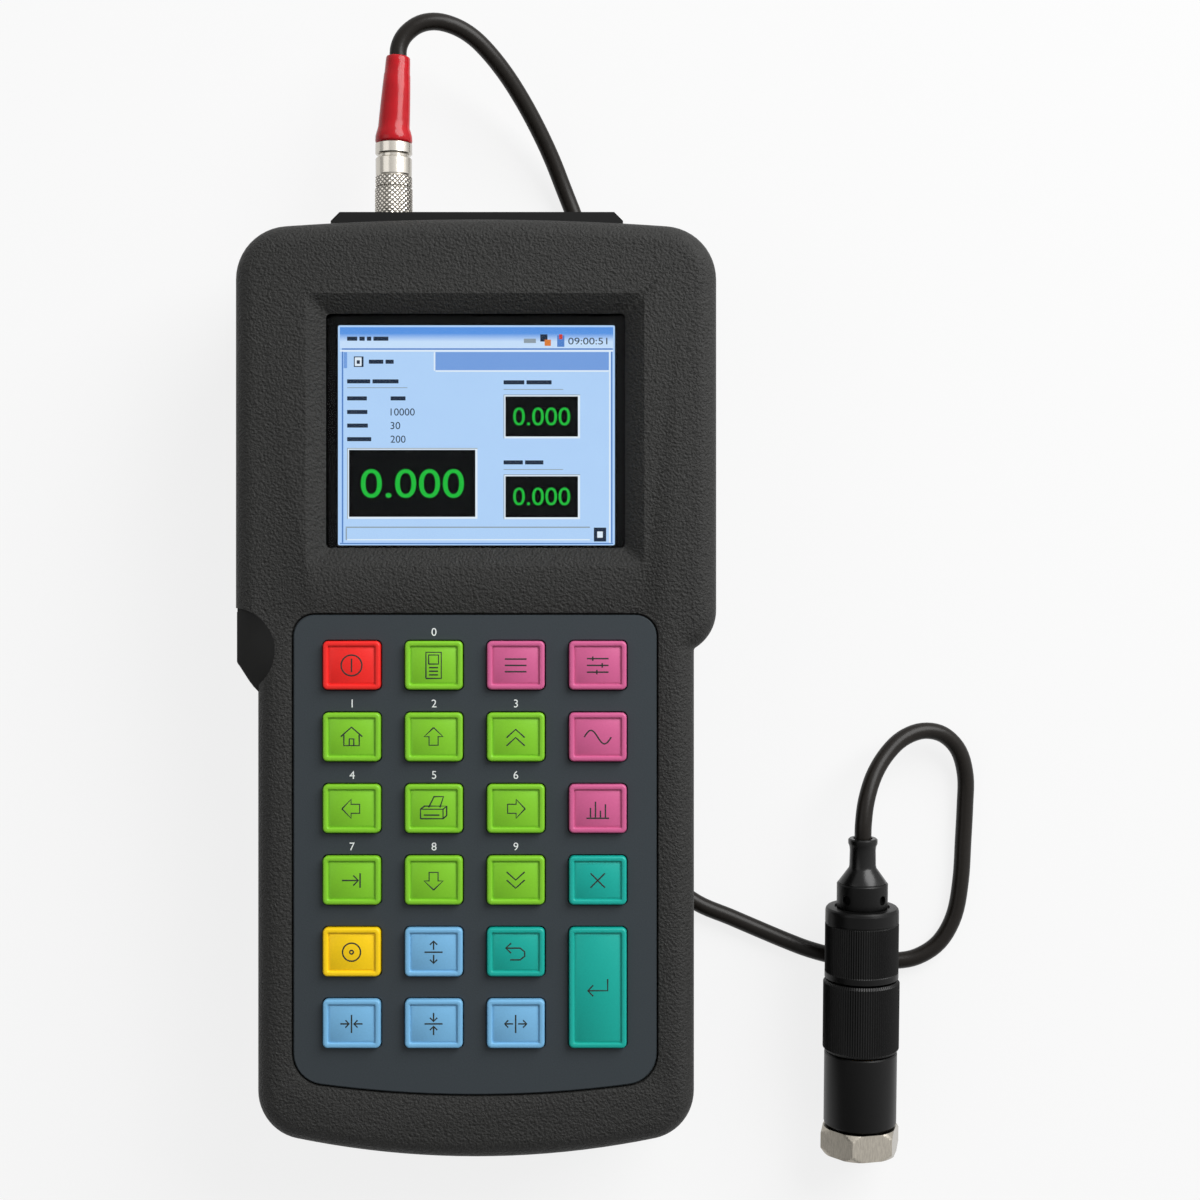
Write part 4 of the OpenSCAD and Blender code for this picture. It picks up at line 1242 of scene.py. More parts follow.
    def grain_lug(self, shell: Object) -> None:
        """Gives the faces of the lug the plain mould finish, and the others the leather grain.

        Args:
            shell: the shell that carries the lug.
        """
        shell.data.materials.clear()
        for finish in (CASE, CASE_SMOOTH):
            shell.data.materials.append(finish.material())
        centre = Vector((-self.high.x, self.lug_y(), 0))
        at_side, at_head, round_scoop = self.plain_margin
        shoulder = self.high.x - self.grip - at_side
        head_end = self.lug_fall - at_head
        reach = self.lug * self.scoop_share + round_scoop
        for polygon in shell.data.polygons:
            place = polygon.center / MM - centre
            beside = place.x < shoulder and place.y < head_end
            within = place.xy.length < reach
            near = place.x < self.lug and place.y >= -self.lug
            polygon.material_index = int(near and (within or beside))

    def build_rear(self) -> None:
        """Makes the rear shell with its rails, heel, battery recess and screw wells."""
        rear = self.shell("rear_case", self.split, self.back)
        cut(rear, [self.cavity(self.back + self.wall, self.split + 2 * self.past)])
        low, high = corners("battery_cover")
        width, length = (side + 2 * self.cover_room for side in flat_size(low, high))
        start, end = self.back - self.past, high.z + self.cover_over
        centre = (low + high) / 2
        recess = slab("recess", centre, (width, length), self.cover_corner, start, end)
        cut(rear, [recess, self.opening()])
        radius, depth = self.well
        profile = [(0, radius), (depth, radius)]
        wells = [
            turned("well", Axis(Vector((side * x, y, start)), UP), profile, 32)
            for x, y in self.screw_places()
            for side in (-1, 1)
        ]
        cut(rear, wells)
        self.soften(rear)
        floor = self.back + self.edge + self.lug_lift
        lug = self.lug_body("lug", floor, self.split - self.seam)
        self.soften(lug)
        join([rear, lug, *self.feet()])
        self.grain_lug(rear)
        dress(rear, CASE, "meter", ["rear_shell"], smooth=24)

    def screw_places(self) -> list[tuple[float, float]]:
        """Places of the case screws on the right side.

        Returns:
            The place of each, across and along the case.
        """
        edge_x = self.high.x - self.screw_inset
        from_top, from_shoulder, from_foot = self.screw_ends
        return [
            (edge_x, self.high.y - from_top),
            (edge_x, self.high.y - self.shoulder_drop + from_shoulder),
            (self.grip - self.low_corner, self.low.y + from_foot),
        ]

    def feet(self) -> list[Object]:
        """Two rails under the head and a heel under the grip, each with a rounded lower edge.

        Returns:
            The two rails and the heel.
        """
        top = corners("rubber_feet")[1].z
        screws = self.screw_places()
        rail_y = (screws[0][1] + screws[1][1]) / 2
        rail_x = self.high.x - self.edge - self.rail_inset
        # How much narrower and shorter a foot is, and the height of that
        section = (
            (0, self.back + 0.4),
            (0, top + 0.6),
            (0.35, top - 0.05),
            (1.2, top - 0.35),
        )
        made = []
        for x, y, (width, length) in (
            (rail_x, rail_y, self.rail_size),
            (-rail_x, rail_y, self.rail_size),
            (0, 0, self.heel_size),
        ):
            centre = Vector((x, y, 0))
            rings = [
                plate_ring(centre, width - inset, length - inset, self.foot_corner - inset / 2, z)
                for inset, z in section
            ]
            made.append(loft("rail", rings))
        return made


@dataclass(frozen=True)
class LitGradient(Finish):
    """A lit band whose colour runs from one shade to another up the display."""

    upper: str = "#5d9be8"
    low_y: float = 0.0
    high_y: float = 1.0

    def material(self) -> Material:
        """Material of the band, with its colour led by the height on the display.

        Returns:
            The material.
        """
        made = super().material()
        tree = made.node_tree
        ramp = next(node for node in tree.nodes if node.bl_idname == "ShaderNodeValToRGB")
        place = add_node(tree, "ShaderNodeTexCoord")
        axes = add_node(tree, "ShaderNodeSeparateXYZ", links={0: place.outputs["Object"]})
        rise = add_node(
            tree,
            "ShaderNodeMapRange",
            {"From Min": self.low_y * MM, "From Max": self.high_y * MM},
            {"Value": axes.outputs["Y"]},
        )
        tree.links.new(rise.outputs["Result"], ramp.inputs["Fac"])
        for stop, colour in zip(ramp.color_ramp.elements, (self.colour, self.upper)):
            stop.color = linear(colour)
        return made


@dataclass(frozen=True)
class KnurledNickel(Finish):
    """Knurled nickel: painted highlight on its points and painted shade in its grooves, which cross
    on its side.
    """

    centre: tuple[float, float, float] = (0.0, 0.0, 0.0)
    step: float = 1.0
    sides: int = 60

    def pattern(self, tree: NodeTree) -> NodeSocket:
        """Draws two sets of grooves that cross, in step with the sleeve's points.

        Args:
            tree: the material's node tree.

        Returns:
            The output that holds the height of the knurl, from 0 in its grooves to 1; through the
            tint it gives painted shade in the grooves and a painted highlight on the points.
        """
        place = add_node(tree, "ShaderNodeTexCoord")
        moved = add_node(
            tree,
            "ShaderNodeMapping",
            {"Location": tuple(-c * MM for c in self.centre)},
            {"Vector": place.outputs["Object"]},
        )
        axes = add_node(tree, "ShaderNodeSeparateXYZ", links={0: moved.outputs["Vector"]})
        angle = maths(tree, "ARCTAN2", axes.outputs["Z"], axes.outputs["X"])
        around = maths(tree, "MULTIPLY", angle, self.sides / (2 * math.tau))
        along = maths(tree, "DIVIDE", axes.outputs["Y"], 2 * self.step * MM)
        grooves = [
            maths(tree, "PINGPONG", maths(tree, way, around, along), 0.5)
            for way in ("ADD", "SUBTRACT")
        ]
        return maths(tree, "MULTIPLY", maths(tree, "MINIMUM", *grooves), 2.0)


@dataclass(frozen=True)
class ClearAcrylic(Finish):
    """Acrylic window with an anti-reflection coat: clear, and black where nothing is lit."""

    index: float = 1.12

    def make(self) -> Material:
        """Builds the clear material.

        Returns:
            The new material.
        """
        made = super().make()
        surface = next(n for n in made.node_tree.nodes if n.bl_idname == "ShaderNodeBsdfPrincipled")
        surface.inputs["Transmission Weight"].default_value = 1.0
        surface.inputs["IOR"].default_value = self.index
        return made


@dataclass
class Screen:
    """Window, black border and the lit display with its readouts.

    The display's contents are placed by the pixels of a zoomed crop of the lit area.
    """

    crop_left: float = 152.0
    crop_top: float = 178.0
    crop_width: float = 1148.0
    crop_height: float = 919.0
    layer: float = 0.03
    # Gap below a patch and below a word, so that no two faces lie in one plane
    patch_gap: float = 0.004
    word_space: float = 0.002
    patch_corner: float = 0.08
    word_corner: float = 0.1
    panel_corner: float = 0.5
    pane_corner: float = 1.0
    lit_corner: float = 0.4
    word_gap: float = 9.0
    word_height: float = 17.0
    row: tuple[float, float] = (483.0, 56.7)
    border_rise: float = 0.25
    border_edge: float = 0.05
    pane_bevel: float = 0.15
    low: Vector = field(default_factory=lambda: corners("lcd_panel")[0])
    high: Vector = field(default_factory=lambda: corners("lcd_panel")[1])

    def at(self, px: float, py: float) -> Vector:
        """Place on the display of a pixel of the crop, in millimetres.

        Args:
            px: the pixel's column.
            py: the pixel's row.

        Returns:
            The place on the panel's face.
        """
        x = self.low.x + (px - self.crop_left) / self.crop_width * (self.high.x - self.low.x)
        y = self.high.y - (py - self.crop_top) / self.crop_height * (self.high.y - self.low.y)
        return Vector((x, y, self.high.z))

    def area(self, box: Box) -> tuple[Vector, tuple[float, float]]:
        """Middle and size on the display of a box of pixels."""
        first, last = self.at(box[0], box[1]), self.at(box[2], box[3])
        return (first + last) / 2, (last.x - first.x, first.y - last.y)

    def base(self, level: int) -> float:
        """Height of the lower side of a layer."""
        return self.high.z + (level - 1) * self.layer

    def patch(self, name: str, box: Box, finish: Finish, level: int = 1) -> None:
        """Adds one rectangle of the picture.

        Args:
            name: name of the piece.
            box: left, top, right and bottom pixel.
            finish: its finish.
            level: how many layers it lies above the panel.
        """
        base = self.base(level)
        foot = base + self.patch_gap
        piece = slab(name, *self.area(box), self.patch_corner, foot, base + self.layer)
        dress(piece, finish, "meter")

    def patches(self, *rows: tuple[str, Box, Finish] | tuple[str, Box, Finish, int]) -> None:
        """Adds rectangles of the picture, each given as the arguments of one patch."""
        for row in rows:
            self.patch(*row)

    def words(
        self, name: str, left: float, middle_y: float, widths: Sequence[float], level: int = 1
    ) -> None:
        """Adds a line of unreadable print: short bars in place of words.

        Args:
            name: name of the piece.
            left: left pixel of the line.
            middle_y: middle pixel of the line.
            widths: width of each bar, in pixels.
            level: how many layers it lies above the panel.
        """
        base = self.base(level)
        half = self.word_height / 2
        bars = []
        for width in widths:
            area = self.area((left, middle_y - half, left + width, middle_y + half))
            foot = base + self.word_space
            bars.append(slab(name, *area, self.word_corner, foot, base + self.layer))
            left += width + self.word_gap
        dress(join(bars, name), LCD_INK, "meter")

    def figures(self, name: str, text: str, box: Box, finish: Finish, level: int) -> None:
        """Adds plain figures.

        Args:
            name: name of the piece.
            text: the figures.
            box: left, top, right and bottom pixel.
            finish: their finish.
            level: how many layers they lie above the panel.
        """
        centre, (width, height) = self.area(box)
        base = self.base(level) + self.patch_gap
        piece = lettered(name, text, centre, height, width, base, self.layer)
        dress(piece, finish, "meter")

    def build(self) -> None:
        """Makes the display, its picture, the border and the window."""
        centre = (self.low + self.high) / 2
        size = flat_size(self.low, self.high)
        panel = slab("display_panel", centre, size, self.panel_corner, self.low.z, self.high.z)
        dress(panel, LCD_PALE, "meter", ["lcd_panel"])
        self.draw_frame()
        self.draw_readouts()
        self.draw_status()
        self.build_window()

    def draw_frame(self) -> None:
        """Draws the title bar, the tab strip and the lines round the page."""
        band = LitGradient(
            "lit_title_band",
            "#cfe6ff",
            0.4,
            Grain.PIXELS,
            0.22,
            gloss=0.1,
            glow=0.95,
            upper="#5c98e6",
            low_y=self.at(0, 272).y,
            high_y=self.at(0, 186).y,
        )
        self.patches(
            ("title_band", (160, 186, 1292, 274), band),
            ("page_top_line", (168, 274, 1290, 280), LCD_EDGE),
            ("page_top_light", (160, 281, 1292, 288), LCD_WHITE),
            ("page_left_line", (168, 288, 174, 1085), LCD_EDGE),
            ("page_right_line", (1283, 288, 1289, 1085), LCD_EDGE),
            ("page_right_light", (1275, 288, 1281, 1085), LCD_WHITE),
            ("tab_stub", (176, 290, 190, 357), LCD_STRIP),
            ("tab_strip", (556, 290, 1274, 365), LCD_STRIP),
            ("tab_side_light", (549, 290, 555, 368), LCD_WHITE),
            ("tab_strip_line", (556, 366, 1274, 372), LCD_WHITE),
            ("picture_low_line", (160, 1086, 1292, 1091), LCD_EDGE),
        )

    def draw_readouts(self) -> None:
        """Draws the three black readouts with their green figures and headings."""
        for name, box, digits in (
            ("main_readout", (190, 690, 730, 985), (247, 778, 674, 898)),
            ("upper_readout", (838, 467, 1155, 650), (878, 521, 1114, 596)),
            ("lower_readout", (838, 800, 1155, 987), (878, 855, 1114, 929)),
        ):
            left, top, right, bottom = box
            self.patch(name + "_frame", box, LCD_GREY)
            self.patch(name + "_light", (left + 3, top + 3, right, bottom), LCD_WHITE, 2)
            self.patch(name + "_field", (left + 8, top + 8, right - 9, bottom - 8), LCD_BLACK, 3)
            self.figures(name + "_figures", "0.000", digits, LCD_GREEN, 4)
        columns = {"main": (190, 440), "upper": (838, 1085), "lower": (838, 1085)}
        for name, row, widths in (
            ("main", 412, (96, 108)),
            ("upper", 416, (86, 104)),
            ("lower", 750, (80, 76)),
        ):
            self.words(name + "_heading", columns[name][0], row, widths)
        for name, top in (("main", 437), ("upper", 444), ("lower", 778)):
            left, right = columns[name]
            self.patch(name + "_rule", (left, top, right, top + 3), LCD_GREY)

    def draw_status(self) -> None:
        """Draws the rows of settings, the clock, the small icons and the message line."""
        first, step = self.row
        for number, (label, value, right) in enumerate(
            ((82, "", 0), (84, "10000", 470), (86, "30", 410), (100, "200", 432))
        ):
            row = first + step * number
            name = f"setting_{number}_"
            self.words(name + "label", 190, row, (label,))
            if value:
                box = (370, row - 15, right, row + 15)
                self.figures(name + "value", value, box, LCD_INK, 1)
            else:
                self.words(name + "value", 370, row, (62,))
        self.words("title_text", 190, 234, (42, 22, 18, 62), 2)
        self.words("tab_text", 280, 330, (60, 34))
        self.patches(
            ("tab_icon", (218, 308, 258, 352), LCD_INK),
            ("tab_icon_page", (222, 312, 250, 348), LCD_WHITE, 2),
            ("tab_icon_mark", (230, 324, 243, 339), LCD_INK, 3),
        )
        self.figures("clock", "09:00:51", (1106, 230, 1268, 258), LCD_INK, 2)
        self.patches(
            ("disc_icon", (922, 234, 972, 252), LCD_GREY, 2),
            ("sound_icon", (990, 216, 1020, 246), LCD_INK, 2),
            ("sound_icon_light", (1008, 238, 1034, 264), LCD_ORANGE, 3),
            ("cell_icon", (1060, 220, 1090, 268), LCD_EDGE, 2),
            ("cell_icon_mark", (1068, 216, 1082, 236), LCD_RED, 3),
            ("message_top_line", (184, 1018, 1196, 1023), LCD_GREY),
            ("message_left_line", (184, 1024, 189, 1074), LCD_GREY),
            ("message_low_light", (190, 1070, 1196, 1075), LCD_WHITE),
            ("corner_icon", (1212, 1022, 1263, 1080), LCD_INK),
            ("corner_icon_hole", (1226, 1038, 1249, 1064), LCD_WHITE, 2),
        )

    def build_window(self) -> None:
        """Makes the black border behind the window, and the clear window."""
        low, high = corners("screen_window")
        centre = (low + high) / 2
        width, length = flat_size(low, high)
        foot = self.high.z + self.border_rise
        corner = self.pane_corner
        border = slab("screen_border", centre, (width, length), corner, foot, low.z - self.layer)
        lit_size = tuple(side - 2 * self.border_edge for side in flat_size(self.low, self.high))
        lit_centre = (self.low + self.high) / 2
        start, end = self.high.z - 1, low.z + 1
        cut(border, [slab("lit_area", lit_centre, lit_size, self.lit_corner, start, end)])
        dress(border, BORDER, "meter")
        bevel_size = self.pane_bevel
        rings = [
            plate_ring(centre, width - 2 * inset, length - 2 * inset, corner - inset, z)
            for inset, z in (
                (bevel_size, low.z),
                (0, low.z + bevel_size),
                (0, high.z - bevel_size),
                (bevel_size, high.z),
            )
        ]
        clear = ClearAcrylic(
            "clear_acrylic", "#f7fbff", 0.02, Grain.GLOSS, 8, 0.001, 0.01, gloss=0.0
        )
        dress(loft("window_pane", rings), clear, "meter", ["screen_window"])


# Legends of the keys


def ring_stroke(radius: float, start: float = 0, end: float = 360, steps: int = 28) -> Stroke:
    """Arc about a key's middle, as a line of its legend."""
    points = arc(Vector((0, 0, 0)), radius, start, end, steps)
    return [(p.x, p.y) for p in points]


def rotated(strokes: Sequence[Stroke], quarters: int) -> list[Stroke]:
    """Turns a legend by quarter turns, anticlockwise.

    Args:
        strokes: lines of the legend.
        quarters: number of quarter turns.

    Returns:
        The turned lines.
    """
    for _ in range(quarters):
        strokes = [[(-y, x) for x, y in stroke] for stroke in strokes]
    return list(strokes)


def hollow_arrow() -> list[Stroke]:
    """Outline of an arrow that points up."""
    half = [(0, 2.1), (2.1, 0.1), (1.0, 0.1), (1.0, -1.8)]
    return [[*half, *[(-x, y) for x, y in reversed(half)]]]


def arrow(length: float, head: float, shift: float = 0) -> list[Stroke]:
    """Thin arrow that points up, moved up by shift."""
    tip = length / 2 + shift
    return [
        [(0, shift - length / 2), (0, tip)],
        [(-head, tip - head), (0, tip), (head, tip - head)],
    ]


def chevrons() -> list[Stroke]:
    """Two chevrons that point up."""
    return [[(-2, y - 1), (0, y + 0.8), (2, y - 1)] for y in (-0.9, 0.9)]


def box_stroke(x0: float, y0: float, x1: float, y1: float) -> Stroke:
    """Closed rectangle."""
    return [(x0, y0), (x1, y0), (x1, y1), (x0, y1), (x0, y0)]


def stretch_arrows(outward: bool) -> list[Stroke]:
    """Arrows above and below a middle line, pointing away from it or towards it.

    Args:
        outward: whether the arrows point away from the line.

    Returns:
        Lines of the legend.
    """
    upward = arrow(1.9, 0.8, 1.5 if outward else -1.5)
    downward = [[(x, -y) for x, y in stroke] for stroke in upward]
    return [*upward, *downward, [(-2, 0), (2, 0)]]


def legends() -> dict[str, list[Stroke]]:
    """Line drawing of each key, in millimetres about the key's middle.

    Returns:
        The lines of each legend, by the key's node.
    """
    wave = [(-3 + 0.25 * k, 1.5 * math.sin(math.tau * k / 24)) for k in range(25)]
    bars = [[(x, -1.9), (x, y)] for x, y in ((-1.6, 0.2), (-0.5, 1.6), (0.6, -0.4), (1.7, 1.0))]
    sliders = [[(-2.4, y), (2.4, y)] for y in (-1.5, 0, 1.5)]
    knobs = [[(x, y - 0.5), (x, y + 0.5)] for x, y in ((-1.1, 1.5), (1.0, 0), (-0.2, -1.5))]
    paper = [(-1.1, 0.3), (0.1, 2.7), (2.2, 2.7), (1.4, 0.3)]
    return {
        "key_power": [ring_stroke(2.3), [(0, -1.5), (0, 1.5)]],
        "key_device": [
            box_stroke(-1.7, -2.9, 1.7, 2.9),
            box_stroke(-1.1, 0.3, 1.1, 2.3),
            *[[(-1.0, y), (1.0, y)] for y in (-0.5, -1.3, -2.1)],
        ],
        "key_menu": [[(-2.4, y), (2.4, y)] for y in (-1.4, 0, 1.4)],
        "key_setup": sliders + knobs,
        "key_home": [
            [(-2.4, 0.1), (0, 2.2), (2.4, 0.1)],
            [(-1.7, 0.5), (-1.7, -1.9), (1.7, -1.9), (1.7, 0.5)],
            [(-0.5, -1.9), (-0.5, -0.4), (0.5, -0.4), (0.5, -1.9)],
        ],
        "key_up": hollow_arrow(),
        "key_page_up": chevrons(),
        "key_mode": [wave],
        "key_left": rotated(hollow_arrow(), 1),
        "key_print": [
            box_stroke(-2.9, -2.2, 2.1, -0.1),
            [(-2.9, -0.1), (-2.0, 0.6), (2.9, 0.6), (2.1, -0.1)],
            [(2.9, 0.6), (2.9, -1.5), (2.1, -2.2)],
            paper,
            [(-2.2, -1.4), (1.3, -1.4)],
        ],
        "key_right": rotated(hollow_arrow(), 3),
        "key_data": [*bars, [(-2.5, -2.1), (2.5, -2.1)]],
        "key_end": rotated([*arrow(3.6, 1.1, -0.3), [(-1.6, 1.9), (1.6, 1.9)]], 3),
        "key_down": rotated(hollow_arrow(), 2),
        "key_page_down": rotated(chevrons(), 2),
        "key_delete": [[(-1.6, -1.6), (1.6, 1.6)], [(-1.6, 1.6), (1.6, -1.6)]],
        "key_second": [ring_stroke(2.0), ring_stroke(0.4)],
        "key_height_up": stretch_arrows(True),
        "key_back": [
            [(-1.0, 2.0), (-2.2, 0.9), (-1.0, -0.2)],
            [(-2.2, 0.9), (1.0, 0.9), (2.0, 0.1), (2.0, -0.9), (1.0, -1.7), (-1.2, -1.7)],
        ],
        "key_enter": [
            [(2.2, 2.0), (2.2, -0.6), (-2.2, -0.6)],
            [(-1.0, 0.6), (-2.2, -0.6), (-1.0, -1.8)],
        ],
        "key_width_down": rotated(stretch_arrows(False), 1),
        "key_height_down": stretch_arrows(False),
        "key_width_up": rotated(stretch_arrows(True), 1),
    }


@dataclass(frozen=True)
class Key:
    """One key: its node, colour, middle and height along the keypad."""

    node: str
    cap: Cap
    x: float
    y: float
    height: float


@dataclass
class Keypad:
    """Keypad plate, the 23 keys with their legends, and the printed numbers."""

    key_size: tuple[float, float] = (12.8, 10.8)
    gap: float = 0.35
    hole_room: float = 0.4
    hole_corner: float = 1.2
    hole_bevel: float = 0.12
    edge: float = 0.25
    high_corner: float = 4.7
    low_corner: float = 7.0
    crown: float = 260.0
    number_rise: float = 7.4
    number_height: float = 1.75
    print_lift: float = 0.003
    print_thick: float = 0.02
    line: float = 0.34
    cap_corner: float = 1.1
    cap_floor: float = 0.36
    # Section of a cap from its side over its rim into its hollow: inset, and drop from the rim
    cap_section: tuple[tuple[float, float], ...] = (
        (0.0, 0.55), (0.08, 0.22), (0.24, 0.05), (0.42, 0.0), (0.92, 0.0),
        (1.08, 0.08), (1.2, 0.5), (1.42, 0.52), (1.62, 0.36),
    )
    low: Vector = field(default_factory=lambda: corners("keypad_plate")[0])
    high: Vector = field(default_factory=lambda: corners("keypad_plate")[1])
    keys: list[Key] = field(default_factory=list)

    def __post_init__(self) -> None:
        """Lists the keys from the CAD nodes."""
        self.low_z = self.low.z
        colours = {
            Cap.RED: ("key_power",),
            Cap.PINK: ("key_menu", "key_setup", "key_mode", "key_data"),
            Cap.TEAL: ("key_delete", "key_back", "key_enter"),
            Cap.YELLOW: ("key_second",),
            Cap.BLUE: ("key_height_up", "key_height_down", "key_width_up", "key_width_down"),
        }
        cap_of = {node: cap for cap, nodes in colours.items() for node in nodes}
        pitch = corners("key_back")[1].y - corners("key_height_up")[1].y
        spare = span("key_power").y - self.key_size[1]
        for node in legends():
            at = middle(node)
            height = span(node).y - spare + pitch
            self.keys.append(Key(node, cap_of.get(node, Cap.GREEN), at.x, at.y, height))

    def outline(self, grow: float, z: float) -> list[Vector]:
        """Outline of the plate, with a bowed lower end.

        Args:
            grow: how far it is drawn out.
            z: its height.

        Returns:
            Its points, anticlockwise.
        """
        side, top = self.high.x, self.high.y
        lean = Case.lean(side, self.crown, self.low_corner)
        centre = self.low.y + self.crown
        low_mid = centre - crown_reach(self.crown, self.low_corner, lean)
        half = arc(Vector((0, centre, z)), self.crown + grow, -90, lean - 90, 10)
        for y, radius, start, end in (
            (low_mid, self.low_corner, lean - 90, 0),
            (top - self.high_corner, self.high_corner, 0, 90),
        ):
            points = arc(Vector((side - radius, y, z)), radius + grow, start, end)
            half += points[1:] if start else points
        mirrored = [Vector((-p.x, p.y, z)) for p in half[:0:-1]]
        return [*half, Vector((0, top + grow, z)), *mirrored]

    def openings(self, room: float, corner: float, z0: float, z1: float) -> list[Object]:
        """Cuts round every key.

        Args:
            room: how much wider and longer than the key each one is.
            corner: radius of its corners.
            z0: height of its lower end.
            z1: height of its upper end.

        Returns:
            The bodies that are cut away.
        """
        made = []
        for key in self.keys:
            size = (self.key_size[0] + room, key.height + room)
            made.append(slab("opening", Vector((key.x, key.y, 0)), size, corner, z0, z1))
        return made

    def build(self) -> None:
        """Makes the plate, the keys, their legends and the numbers."""
        top = self.high.z
        plate = loft(
            "keypad_face",
            [
                self.outline(0, self.low.z),
                self.outline(0, top - self.edge),
                self.outline(-self.edge, top),
            ],
        )
        start, end = self.low.z - 1, top + 1
        cut(plate, self.openings(self.hole_room, self.hole_corner, start, end))
        bevel(plate, self.hole_bevel, 1, 60)
        dress(plate, PLATE, "meter", ["keypad_plate"])
        drawings = legends()
        for key in self.keys:
            self.build_key(key, drawings[key.node])
        self.print_numbers()

    def build_key(self, key: Key, drawing: Sequence[Stroke]) -> None:
        """Makes one cap with a raised rim, and its legend.

        Args:
            key: the key.
            drawing: lines of its legend.
        """
        low, high = corners(key.node)
        centre = Vector((key.x, key.y, 0))
        width = self.key_size[0]
        floor = high.z - self.cap_floor
        section = [(0.0, low.z), *((inset, high.z - drop) for inset, drop in self.cap_section)]
        rings = [
            plate_ring(
                centre,
                width - 2 * inset,
                key.height - 2 * inset,
                max(self.gap, self.cap_corner - inset),
                z,
            )
            for inset, z in section
        ]
        cap = loft(key.node + "_cap", rings)
        dress(cap, key.cap.finish(), key.node, [key.node], smooth=50)
        mark = inked(key.node + "_mark", drawing, centre, floor, self.line)
        dress(mark, DARK_INK, key.node, smooth=60)

    def print_numbers(self) -> None:
        """Prints the plain numbers 0 to 9 over the keys of the first three columns."""
        numbered = (
            ("key_device",),
            ("key_home", "key_up", "key_page_up"),
            ("key_left", "key_print", "key_right"),
            ("key_end", "key_down", "key_page_down"),
        )
        by_node = {key.node: key for key in self.keys}
        base = self.high.z + self.print_lift
        for figure, node in enumerate(node for row in numbered for node in row):
            key = by_node[node]
            centre = Vector((key.x, key.y + self.number_rise, 0))
            name = f"number_{figure}"
            height, thick = self.number_height, self.print_thick
            piece = lettered(name, str(figure), centre, height, 0, base, thick)
            dress(piece, WHITE_INK, "meter")


